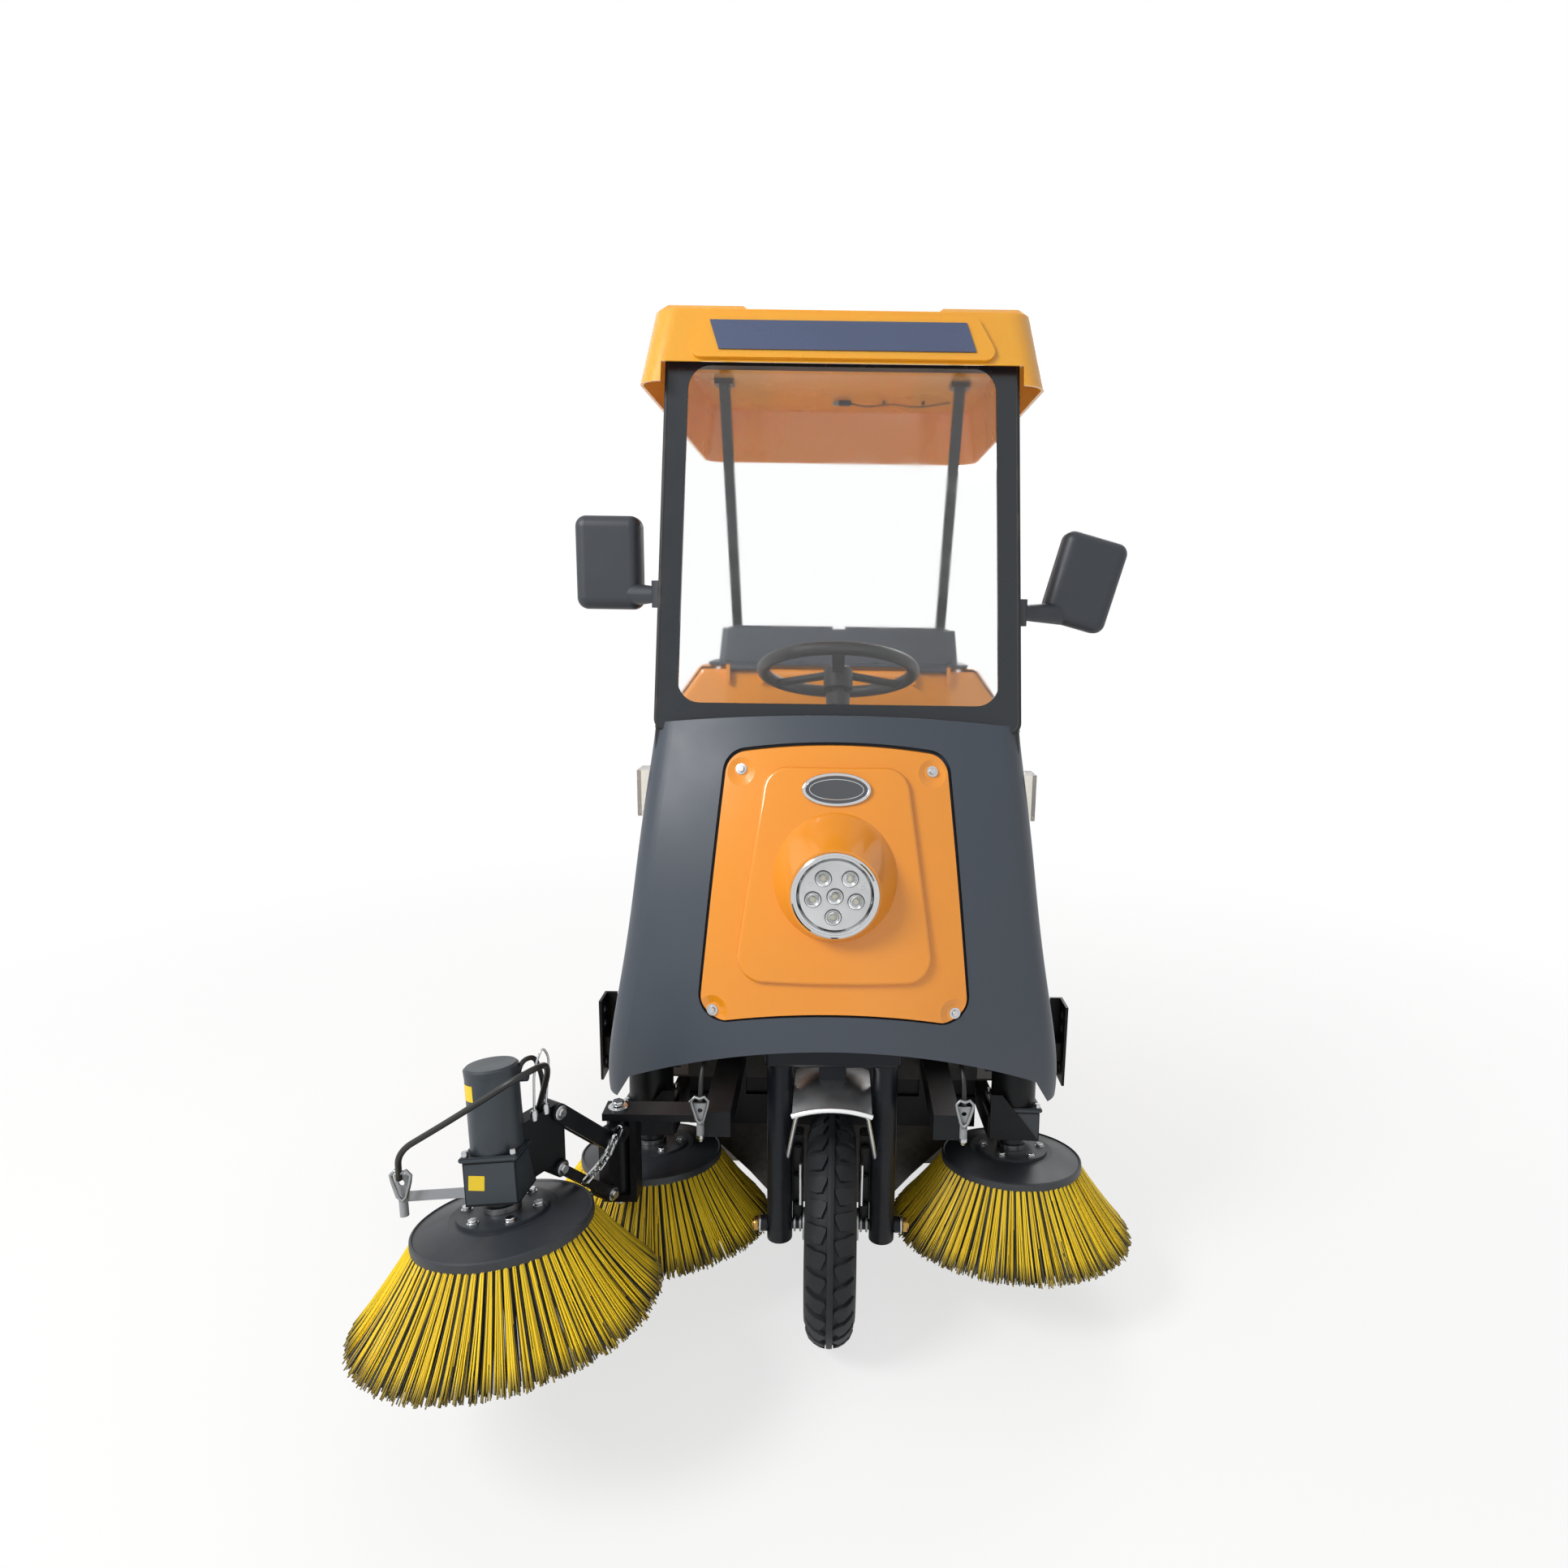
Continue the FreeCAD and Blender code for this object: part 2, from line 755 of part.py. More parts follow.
def make_pedals():
    """Two treadle pedals on stems from the floor."""
    made = []
    for x in (-pedal_offset, -pedal_offset - pedal_wide - pedal_stem * 2):
        pad = block(x - pedal_wide / 2, x + pedal_wide / 2, pedal_front, pedal_front + pedal_long,
                    floor_z + sheet + pedal_lift, floor_z + sheet + pedal_lift + pedal_thick)
        pad = turned(pad, (x, pedal_front + pedal_long, floor_z + sheet + pedal_lift), (1, 0, 0), -pedal_lean)
        stem = rod((x, pedal_front + pedal_long - pedal_stem, floor_z + sheet),
                   (x, pedal_front + pedal_long - pedal_stem * 2, floor_z + sheet + pedal_lift + pedal_thick),
                   pedal_stem)
        made.append(join(pad, stem))
    pieces["pedals"] = group(*made).cut(pieces["floor_pan"])


def column_point(back):
    """Point on the steering column's line, so far back from the centre of the hand wheel."""
    lean = math.radians(column_lean)
    return (0, steer_hand_y - back * math.sin(lean), steer_hand_z - back * math.cos(lean))


def make_steering():
    centre = column_point(0)
    ring = Part.makeTorus(steer_hand_radius, steer_rim_radius)
    hub = Part.makeCylinder(steer_hub_radius, steer_hub_high, vec(0, 0, -steer_hub_high))
    solids = [ring, hub]
    reach = steer_hand_radius - steer_rim_radius / 2
    for i in range(steer_spokes):
        spoke = block(0, reach, -steer_spoke_wide / 2, steer_spoke_wide / 2,
                      -steer_spoke_thick, 0)
        solids.append(turned(spoke, (0, 0, 0), (0, 0, 1), -90 + i * 360 / steer_spokes))
    shaft_foot = -steer_hub_high - column_long / 2
    solids.append(rod((0, 0, shaft_foot), (0, 0, -steer_hub_high / 2), column_shaft_radius))
    wheel = join(*solids)
    wheel.rotate(vec(0, 0, 0), vec(1, 0, 0), -column_lean)
    wheel.translate(vec(*centre))
    pieces["steering_wheel"] = wheel
    top = column_point(steer_hub_high + column_end_gap)
    foot = column_point(steer_hub_high + column_long)
    case = rod(foot, top, column_radius)
    bore = rod(column_point(steer_hub_high + column_long / 2 + column_end_gap), column_point(0),
               column_shaft_radius + play)
    seat = block(-column_half_width, column_half_width, 0, rail_front + column_deep + seat_gap,
                 0, head_top + seat_gap)
    pieces["steering_column"] = case.cut(bore).cut(seat)
    clearance = rod(foot, top, column_radius + seat_gap)
    pieces["dash_console"] = pieces["dash_console"].cut(clearance)


# Cowl

def cowl_front_line(z):
    """Where the middle of the cowl's front lies at a height."""
    for i in range(len(cowl_levels) - 1):
        low, high = cowl_levels[i], cowl_levels[i + 1]
        if z <= high:
            part = (z - low) / (high - low)
            return cowl_front_lines[i] + part * (cowl_front_lines[i + 1] - cowl_front_lines[i])
    return cowl_front_lines[-1]


def cowl_section(level, half, front, grow, rear):
    """Plan outline: a flat arc in front, two round corners and straight sides."""
    half, front = half + grow, front - grow
    big, small = cowl_front_radius + grow, cowl_corner + grow
    corner_x = half - small
    corner_y = front + big - math.sqrt((big - small) ** 2 - corner_x ** 2)
    turn = math.asin(corner_x / (big - small))
    meet = vec(big * math.sin(turn), front + big - big * math.cos(turn), level)
    middle_turn = (turn + math.pi / 2) / 2
    middle = vec(corner_x + small * math.sin(middle_turn), corner_y - small * math.cos(middle_turn), level)
    side = vec(half, corner_y, level)
    back = vec(half, rear, level)

    def other(point):
        return vec(-point.x, point.y, point.z)

    return Part.Wire([
        Part.LineSegment(other(back), other(side)).toShape(),
        Part.Arc(other(side), other(middle), other(meet)).toShape(),
        Part.Arc(other(meet), vec(0, front, level), meet).toShape(),
        Part.Arc(meet, middle, side).toShape(),
        Part.LineSegment(side, back).toShape(),
        Part.LineSegment(back, other(back)).toShape(),
    ])


def cowl_solid(grow, extra):
    """The whole cowl as a solid, grown or shrunk, its back moved by extra."""
    wires = []
    for level, half, front in zip(cowl_levels, cowl_half_widths, cowl_front_lines):
        wires.append(cowl_section(level, half, front, grow, front + cowl_deep + extra))
    return Part.makeLoft(wires, True, False)


def cowl_skin(outer, inner):
    return cowl_solid(outer, 0).cut(cowl_solid(inner, overrun))


def panel_outline(grow, y0, y1):
    """Solid along y with the panel's arched foot and head, straight sides and round corners."""
    low_x, top_x = panel_half_bottom + grow, panel_half_top + grow
    low, top = panel_bottom - grow, panel_top + grow

    def p(x, z):
        return vec(x, y0, z)

    edge = Part.Wire([
        Part.Arc(p(-low_x, low), p(0, low + panel_bottom_rise), p(low_x, low)).toShape(),
        Part.LineSegment(p(low_x, low), p(top_x, top)).toShape(),
        Part.Arc(p(top_x, top), p(0, top + panel_top_rise), p(-top_x, top)).toShape(),
        Part.LineSegment(p(-top_x, top), p(-low_x, low)).toShape(),
    ])
    solid = Part.Face(edge).extrude(vec(0, y1 - y0, 0))
    corners = [e for e in solid.Edges if e.BoundBox.YLength > (y1 - y0) / 2]
    return solid.makeFillet(panel_corner + grow, corners)


def make_cowl():
    """Front shield with arched edges, skirts at its corners and a recess for the panel."""
    front, rear = cowl_front_lines[0] - overrun, cowl_front_lines[-1] + cowl_deep + overrun
    side = cowl_half_widths[0] + overrun
    low_x, top_x = cowl_bottom_arch_half, cowl_top_half

    def p(x, z):
        return vec(x, front, z)

    skirt_x = low_x + cowl_skirt_step
    edge = Part.Wire([
        Part.Arc(p(-low_x, cowl_bottom_corner), p(0, cowl_bottom_middle),
                 p(low_x, cowl_bottom_corner)).toShape(),
        Part.LineSegment(p(low_x, cowl_bottom_corner), p(skirt_x, cowl_skirt_bottom)).toShape(),
        Part.LineSegment(p(skirt_x, cowl_skirt_bottom), p(side, cowl_skirt_bottom)).toShape(),
        Part.LineSegment(p(side, cowl_skirt_bottom), p(side, cowl_top_corner)).toShape(),
        Part.LineSegment(p(side, cowl_top_corner), p(top_x, cowl_top_corner)).toShape(),
        Part.Arc(p(top_x, cowl_top_corner), p(0, cowl_top_middle), p(-top_x, cowl_top_corner)).toShape(),
        Part.LineSegment(p(-top_x, cowl_top_corner), p(-side, cowl_top_corner)).toShape(),
        Part.LineSegment(p(-side, cowl_top_corner), p(-side, cowl_skirt_bottom)).toShape(),
        Part.LineSegment(p(-side, cowl_skirt_bottom), p(-skirt_x, cowl_skirt_bottom)).toShape(),
        Part.LineSegment(p(-skirt_x, cowl_skirt_bottom), p(-low_x, cowl_bottom_corner)).toShape(),
    ])
    keep = Part.Face(edge).extrude(vec(0, rear - front, 0))
    y0, y1 = front - overrun, rear
    opening = panel_outline(panel_gap, y0, y1)
    skin = cowl_skin(0, -shell).common(keep).cut(opening)
    rim_out = panel_outline(panel_gap + shell, y0, y1)
    ledge_in = panel_outline(-recess_ledge, y0, y1)
    wall = cowl_skin(-shell / 2, -recess_deep).common(rim_out.cut(opening))
    ledge = cowl_skin(-recess_deep + sheet, -recess_deep).common(rim_out.cut(ledge_in))
    pieces["front_cowl"] = join(skin, wall, ledge)


def panel_dish(x, z):
    """Shallow cone that hollows the panel's face around a bolt."""
    step = dish_radius
    slope = (cowl_front_line(z + step) - cowl_front_line(z - step)) / (step * 2)
    y = cowl_front_line(z) + cowl_front_radius - math.sqrt(cowl_front_radius ** 2 - x ** 2) - panel_proud
    out = vec(x / cowl_front_radius, -1, slope)
    foot = vec(x, y, z) - out * dish_deep
    wide = dish_radius + dish_radius * dish_share
    return Part.makeCone(dish_radius * dish_share, wide, dish_deep * 2, foot, out)


def make_panel():
    """Bolted panel with a raised frame and a cone that carries the lamp."""
    y0, y1 = cowl_front_lines[0] - overrun * 4, cowl_front_lines[-1] + cowl_deep
    plate = cowl_skin(panel_proud, -shell).common(panel_outline(0, y0, y1))
    frame = cowl_skin(panel_proud + frame_raise, -shell).common(
        panel_block(frame_half_bottom, frame_half_top, frame_bottom, frame_top, frame_corner, y0, y1))
    cone_back = cowl_front_line(lamp_height + bulge_radius) + bulge_back
    cone = Part.makeCone(bulge_radius + bulge_back, lamp_radius + lamp_lip, cone_back - lamp_front,
                         vec(0, cone_back, lamp_height), vec(0, -1, 0))
    cone = cone.cut(cowl_solid(-shell, overrun))
    pocket = rod((0, lamp_front - overrun, lamp_height), (0, lamp_front + lamp_thick, lamp_height),
                 lamp_radius + seat_gap)
    skins = [f for f in frame.Faces if f.Surface.TypeId == "Part::GeomBSplineSurface"]
    frame = frame.makeFillet(frame_soft, min(skins, key=lambda f: f.CenterOfMass.y).Edges)
    edge = cowl_skin(-shell / 2, sheet + seat_gap - recess_deep).common(
        panel_outline(0, y0, y1).cut(panel_outline(-recess_ledge / 2, y0, y1)))
    panel = join(plate, edge, frame, cone).cut(pocket)
    for z, half in ((panel_bottom + dish_inset, panel_half_bottom), (panel_top - dish_inset, panel_half_top)):
        hollow = panel_dish(half - dish_inset, z)
        panel = panel.cut(hollow).cut(mirror(hollow))
    pieces["front_panel"] = panel
    lamp = rod((0, lamp_front - lamp_lip / 2, lamp_height),
               (0, lamp_front + lamp_thick - seat_gap, lamp_height), lamp_radius)
    dish = Part.makeCone(lamp_radius - lamp_lip, lamp_radius - lamp_lip * 2, lamp_lip,
                         vec(0, lamp_front - lamp_lip / 2, lamp_height), vec(0, 1, 0))
    pieces["headlamp"] = lamp.cut(dish)


def make_badge():
    """Blank oval plate above the lamp."""
    y = cowl_front_line(badge_height) - panel_proud - frame_raise
    oval = Part.Ellipse(vec(0, 0, 0), badge_half_wide, badge_half_high).toShape()
    plate = Part.Face(Part.Wire(oval)).extrude(vec(0, 0, badge_thick * 4))
    rise = cowl_levels[4] - cowl_levels[3]
    lean = math.degrees(math.atan2(cowl_front_lines[4] - cowl_front_lines[3], rise))
    plate.rotate(vec(0, 0, 0), vec(1, 0, 0), 90 - lean)
    plate.translate(vec(0, y + badge_thick * 3, badge_height))
    pieces["front_panel"] = join(pieces["front_panel"], plate.cut(cowl_solid(-shell, 0)))


def make_signals():
    half = cowl_half_widths[4]
    y = cowl_front_line(signal_height) + signal_setback
    lamp = block(half - signal_wide, half + signal_wide, y, y + signal_deep,
                 signal_height - signal_high / 2, signal_height + signal_high / 2)
    lamp = lamp.cut(cowl_solid(0, cowl_deep))
    pieces["turn_signals"] = both(lamp)


# Windscreen

def leaned(shape):
    return turned(shape, (0, screen_bottom_y, screen_bottom_z), (1, 0, 0), -screen_lean)


def make_screen():
    """Laminated pane on a frame of square tubes that runs down into the cowl and up into the roof."""
    long = (screen_top_z - screen_bottom_z) / math.cos(math.radians(screen_lean))
    foot, top = screen_bottom_z, screen_bottom_z + long
    y0, y1 = screen_bottom_y, screen_bottom_y + screen_thick
    a, b = screen_half_bottom, screen_half_top
    pane = prism_y([(-a, foot), (a, foot), (b, top), (-b, top)], y0, y1)
    pieces["windscreen_glass"] = leaned(pane)
    slope = (a - b) / long
    low, high = foot - screen_post_foot, top + roof_top - roof_front_edge
    low_x, high_x = a + slope * screen_post_foot, b - slope * (high - top)
    post = prism_y([(low_x - screen_post, low), (low_x, low), (high_x, high), (high_x - screen_post, high)],
                   y1, y1 + screen_post)
    in_low, in_top = a - screen_post / 2, b - screen_post / 2
    sill = block(-in_low, in_low, y1, y1 + screen_post, foot - screen_post, foot)
    head = block(-in_top, in_top, y1, y1 + screen_post, top - screen_post, top)
    frame = leaned(join(post, mirror(post), sill, head))
    far = roof_rear
    ceiling = roof_top - roof_wall
    above = block(-far, far, 0, far, ceiling, ceiling + far)
    pieces["windscreen_frame"] = frame.cut(above)
    view = leaned(block(-in_low, in_low, y0, far, foot, top))
    pieces["front_cowl"] = pieces["front_cowl"].cut(frame).cut(pieces["windscreen_glass"]).cut(view)
    pieces["dash_console"] = pieces["dash_console"].cut(leaned(
        block(-far, far, -far, y1 + screen_post + seat_gap, low, high)))


# Roof

def roof_wire(half, y0, y1, corner, z):
    """Rounded rectangle at a height."""
    k = corner * (1 - math.sqrt(0.5))

    def p(x, y):
        return vec(x, y, z)

    return Part.Wire([
        Part.LineSegment(p(-half + corner, y0), p(half - corner, y0)).toShape(),
        Part.Arc(p(half - corner, y0), p(half - k, y0 + k), p(half, y0 + corner)).toShape(),
        Part.LineSegment(p(half, y0 + corner), p(half, y1 - corner)).toShape(),
        Part.Arc(p(half, y1 - corner), p(half - k, y1 - k), p(half - corner, y1)).toShape(),
        Part.LineSegment(p(half - corner, y1), p(-half + corner, y1)).toShape(),
        Part.Arc(p(-half + corner, y1), p(-half + k, y1 - k), p(-half, y1 - corner)).toShape(),
        Part.LineSegment(p(-half, y1 - corner), p(-half, y0 + corner)).toShape(),
        Part.Arc(p(-half, y0 + corner), p(-half + k, y0 + k), p(-half + corner, y0)).toShape(),
    ])


def roof_solid(grow, z0, z1):
    """Roof block between two heights, its walls leaning in, grown or shrunk."""
    full = roof_top - roof_bottom

    def at(z):
        part = (z - roof_bottom) / full
        half = roof_half_width - part * (roof_half_width - roof_half_top) + grow
        return roof_wire(half, roof_front + part * roof_front_lean - grow,
                         roof_rear - part * roof_rear_lean + grow, roof_corner + grow, z)

    return Part.makeLoft([at(z0), at(z1)], True, True)


def front_lean():
    return math.degrees(math.atan2(roof_front_lean, roof_top - roof_bottom))


def on_fascia(shape):
    """Lean a plate drawn upright at the roof's front so that it lies on its front wall."""
    return turned(shape, (0, roof_front, roof_bottom), (1, 0, 0), -front_lean())


def make_roof():
    outer = roof_solid(0, roof_bottom, roof_top)
    inner = roof_solid(-roof_wall, roof_bottom - overrun, roof_top - roof_wall)
    notch = block(-roof_front_cut_half, roof_front_cut_half, 0, roof_front + roof_front_lean + roof_wall,
                  roof_bottom - overrun, roof_front_edge)
    solids = [outer.cut(inner).cut(notch)]
    y0 = roof_front + roof_front_lean + roof_hump_margin
    y1 = roof_rear - roof_rear_lean - roof_hump_margin
    x0, x1 = roof_trough_half, roof_half_top - roof_hump_margin / 2
    low = [(x0, y0), (x1, y0), (x1, y1), (x0, y1)]
    hump = prism_z(low, roof_top, roof_top + roof_hump)
    hump = hump.makeChamfer(roof_hump * 0.9, [e for e in hump.Edges
                                              if e.BoundBox.ZMin > roof_top + roof_hump / 2])
    solids += [hump, mirror(hump)]
    long = (roof_top - roof_bottom) / math.cos(math.radians(front_lean()))
    z0 = roof_bottom + (roof_front_edge - roof_bottom) + fascia_margin / 2
    z1 = roof_bottom + long - fascia_margin
    fascia = panel_block(fascia_half_bottom, fascia_half_top, z0, z1, fascia_corner,
                         roof_front - fascia_raise, roof_front + roof_wall / 2)
    solids.append(on_fascia(fascia))
    pieces["roof_shell"] = join(*solids)
    middle = (z0 + z1) / 2
    sign = prism_y([(-sign_half_wide - sign_skew, middle + sign_high / 2),
                    (-sign_half_wide + sign_skew, middle - sign_high / 2),
                    (sign_half_wide + sign_skew, middle - sign_high / 2),
                    (sign_half_wide - sign_skew, middle + sign_high / 2)],
                   roof_front - fascia_raise - sign_thick, roof_front - fascia_raise)
    pieces["roof_sign_plate"] = on_fascia(sign)


def make_rear_posts():
    """Two square posts from the rear body up to the roof, each with a foot and a head block."""
    ceiling = roof_top - roof_wall
    rise = ceiling - body_top
    lean = (post_foot_y - post_top_y) / rise
    beyond = post_size
    half = post_size / 2
    bar = lean_bar((post_offset, post_foot_y + lean * beyond, body_top - beyond),
                   (post_offset, post_top_y - lean * beyond, ceiling + beyond), half)
    band = block(0, roof_half_width, 0, roof_rear, body_top, ceiling)
    bar = bar.common(band)
    foot = block(post_offset - post_block / 2, post_offset + post_block / 2,
                 post_foot_y - post_block / 2, post_foot_y + post_block / 2, body_top, body_top + half)
    cap = block(post_offset - post_block / 2, post_offset + post_block / 2,
                post_top_y - post_block / 2, post_top_y + post_block / 2, ceiling - half, ceiling)
    pieces["rear_posts"] = both(join(bar, foot, cap))


# Mirrors

def mirror_unit(x, z, turn, side):
    """Shell of a mirror, its neck and the arm to the windscreen post."""
    y = mirror_back
    head = block(x - mirror_half_wide, x + mirror_half_wide, y, y + mirror_deep,
                 z - mirror_high / 2, z + mirror_high / 2)
    head = head.makeFillet(mirror_round, head.Edges)
    face = block(x - mirror_half_wide + mirror_round / 2, x + mirror_half_wide - mirror_round / 2,
                 y + mirror_deep - sheet, y + mirror_deep + overrun,
                 z - mirror_high / 2 + mirror_round / 2, z + mirror_high / 2 - mirror_round / 2)
    head = turned(head.cut(face), (x, y, z), (0, 1, 0), -side * -turn)
    arm_z = z - mirror_arm_drop
    arm_y = y + mirror_deep / 2
    part = (arm_z - screen_bottom_z) / (screen_top_z - screen_bottom_z)
    edge = screen_half_bottom + part * (screen_half_top - screen_half_bottom)
    post_y = screen_bottom_y + (arm_z - screen_bottom_z) * math.tan(math.radians(screen_lean)) + screen_post / 2
    root = (side * (edge - screen_post / 4), post_y + screen_thick, arm_z)
    tip = (x - side * mirror_half_wide / 2, arm_y, arm_z)
    reach = vec(*tip) - vec(*root)
    arm = Part.makeCone(mirror_arm_radius, mirror_neck_radius, reach.Length, vec(*root), reach)
    clamp = rod((side * edge, post_y + screen_thick, arm_z - mirror_clamp),
                (side * edge, post_y + screen_thick, arm_z + mirror_clamp), mirror_arm_radius * 1.5)
    return join(head, arm, clamp)


def make_mirrors():
    right = mirror_unit(mirror_right_x, mirror_right_z, mirror_right_turn, -1)
    left = mirror_unit(mirror_left_x, mirror_left_z, mirror_left_turn, 1)
    pieces["mirrors"] = group(right, left).cut(pieces["windscreen_frame"]).cut(pieces["windscreen_glass"])


# Seat

def make_seat():
    outer = block(-seat_half_width, seat_half_width, seat_front, body_front - seat_gap,
                  floor_z + sheet, seat_top)
    inner = block(-seat_half_width + sheet, seat_half_width - sheet, seat_front + sheet,
                  body_front - seat_gap - sheet, floor_z, seat_top - sheet)
    box = outer.cut(inner)
    tray = block(-seat_half_width, seat_half_width, floor_rear + seat_gap, body_front - seat_gap,
                 rail_top, rail_top + sheet)
    post = block(-seat_half_width, -seat_half_width + sheet, floor_rear + seat_gap, body_front - seat_gap,
                 rail_top, floor_z + sheet)
    back = block(-seat_half_width, seat_half_width, body_front - seat_gap - sheet, body_front - seat_gap,
                 rail_top, floor_z + sheet)
    pieces["seat_base"] = join(box, tray, post, mirror(post), back)
    battery_z = rail_top + sheet
    pieces["battery_block"] = block(-battery_half_width, battery_half_width, battery_front + sheet * 2,
                                    battery_rear, battery_z, battery_z + battery_high)
    cushion = block(-cushion_half_width, cushion_half_width, cushion_front, cushion_rear - seat_gap,
                    seat_top + seat_gap, seat_top + cushion_thick)
    pieces["seat_cushion"] = cushion.makeFillet(cushion_round, [e for e in cushion.Edges
                                                if e.BoundBox.ZMin > seat_top + cushion_thick / 2])
    rest = block(-back_half_width, back_half_width, back_front, back_front + back_thick, back_bottom, back_top)
    pieces["seat_backrest"] = rest.makeFillet(cushion_round, [e for e in rest.Edges
                                              if e.BoundBox.YMax < back_front + back_thick / 2])
    post = block(-back_post_half, back_post_half, back_front + back_thick / 2, back_front + back_thick,
                 seat_top, back_bottom - seat_gap)
    offset = cushion_half_width / 2
    left, right = post.copy(), post.copy()
    left.translate(vec(offset, 0, 0))
    right.translate(vec(-offset, 0, 0))
    pieces["seat_base"] = join(pieces["seat_base"], left, right)


# Rear body, lid and door

def body_outline(inset, bottom):
    side = body_half_width - inset
    shoulder, top_half = body_shoulder_half - inset, body_top_half - inset
    top = body_top - inset
    right = [(side, bottom), (side, body_waist_z), (shoulder, body_shoulder_z), (top_half, top)]
    return right + [(-x, z) for x, z in reversed(right)]


def hinge_parts(y, z, x, base_y0, base_y1, base_z0, base_z1):
    """Barrel with its pin, for the moving side, and two ears with bores, for the fixed side."""
    half = barrel_long / 2
    end = half + side_gap + barrel_ear
    barrel = rod((x - half, y, z), (x + half, y, z), barrel_radius)
    pin = rod((x - end, y, z), (x + end, y, z), barrel_pin)
    bore = rod((x - end - overrun, y, z), (x + end + overrun, y, z), barrel_pin + play)
    ears = []
    for x0 in (x - end, x + half + side_gap):
        ear = block(x0, x0 + barrel_ear, base_y0, base_y1, base_z0, base_z1)
        ears.append(ear.cut(bore))
    return join(barrel, pin), ears


def make_rear_body():
    """Moulded hood over hopper and wheels, open below, with openings for the lid, the door and the wheels."""
    outer = prism_y(body_outline(0, body_bottom), body_front, body_rear)
    edges = [e for e in outer.Edges if e.BoundBox.ZMin > body_waist_z - overrun]
    outer = outer.makeFillet(body_edge_round, edges)
    inner = prism_y(body_outline(shell, body_bottom - overrun), body_front + shell, body_rear - shell)
    hood = outer.cut(inner)
    arch = rod((arch_inner, wheelbase, wheel_radius), (body_half_width + overrun, wheelbase, wheel_radius),
               wheel_radius + arch_gap)
    rails = block(-rail_out - side_gap, rail_out + side_gap, body_front - overrun, body_front + shell + overrun,
                  0, rail_top + seat_gap)
    lid_x = lid_half_width - lid_flange_wide
    hatch = block(-lid_x, lid_x, lid_front + lid_flange_wide, lid_rear - lid_flange_wide,
                  body_top - shell - overrun, body_top + overrun)
    doorway = block(-door_half_width, door_half_width, body_rear - shell - overrun, body_rear + overrun,
                    door_bottom, door_top)
    hood = hood.cut(arch).cut(mirror(arch)).cut(rails).cut(hatch).cut(doorway)
    ears = []
    for side in (-1, 1):
        lid_barrel, lid_ears = hinge_parts(lid_hinge_y, lid_hinge_z, side * lid_hinge_half,
                                           lid_hinge_y - barrel_radius, body_front,
                                           lid_hinge_z - barrel_radius * 5, lid_hinge_z + barrel_radius)
        y, z = door_hinge()
        door_barrel, door_ears = hinge_parts(y, z, side * door_hinge_half, body_rear,
                                             y + barrel_radius, door_top + sheet, z + barrel_radius * 2)
        lid_ears = [ear.cut(hood) for ear in lid_ears]
        ears += lid_ears + door_ears
        pieces.setdefault("lid_barrels", []).append(lid_barrel)
        pieces.setdefault("door_barrels", []).append(door_barrel)
    bearer = block(-body_half_width + shell, body_half_width - shell, body_front + shell,
                   bin_front - side_gap, rail_top, floor_z)
    rear_bearer = block(-body_half_width + shell, body_half_width - shell, bin_rear + side_gap,
                        body_rear - shell, rail_top, floor_z)
    pieces["rear_body"] = join(hood, *ears)
    pieces["chassis_frame"] = join(pieces["chassis_frame"], bearer, rear_bearer)


def make_arches():
    wide = wheel_radius + arch_gap
    out = rod((arch_inner - arch_wall, wheelbase, wheel_radius),
              (body_half_width - shell, wheelbase, wheel_radius), wide + arch_wall)
    cave = rod((arch_inner, wheelbase, wheel_radius), (body_half_width, wheelbase, wheel_radius), wide)
    low = block(0, body_half_width, 0, wheelbase * 2, -wheelbase, body_bottom)
    liner = out.cut(cave).cut(low)
    pieces["rear_body"] = join(pieces["rear_body"], liner, mirror(liner))


def door_hinge():
    return body_rear - door_gap + door_thick / 2 + door_hinge_out, door_top + door_hinge_up + barrel_radius


def make_lid():
    """Flanged lid with two flat pads on top, hinged at its front edge."""
    z0 = body_top + seat_gap
    flange = block(-lid_half_width, lid_half_width, lid_front, lid_rear, z0, z0 + lid_flange_thick)
    y0, y1 = lid_front + lid_flange_wide, lid_rear - lid_flange_wide
    x1 = lid_half_width - lid_flange_wide

    def layer(inset, z):
        return roof_wire(x1 - inset, y0 + inset, y1 - inset, lid_round, z)

    top = z0 + lid_high
    dome = Part.makeLoft([layer(0, z0), layer(lid_draft, top)], True, True)
    hollow = Part.makeLoft([layer(lid_wall, z0 - overrun),
                            layer(lid_wall + lid_draft, top - lid_wall)], True, True)
    shapes = [dome, flange]
    pad_in, pad_out = lid_pad_gap / 2, x1 - lid_draft - lid_pad_margin
    pad = block(pad_in, pad_out, y0 + lid_pad_margin, y1 - lid_pad_margin, top - sheet / 2, top + lid_pad_high)
    shapes += [pad, mirror(pad)]
    for side, barrel in zip((-1, 1), pieces.pop("lid_barrels")):
        x = side * lid_hinge_half
        strap = block(x - barrel_long / 2, x + barrel_long / 2, lid_hinge_y, lid_front + overrun,
                      z0, z0 + sheet)
        neck = block(x - barrel_long / 2, x + barrel_long / 2, lid_hinge_y - sheet / 2, lid_hinge_y + sheet / 2,
                     lid_hinge_z, z0 + sheet)
        shapes += [barrel, strap, neck]
    pieces["rear_lid"] = join(*shapes).cut(hollow)


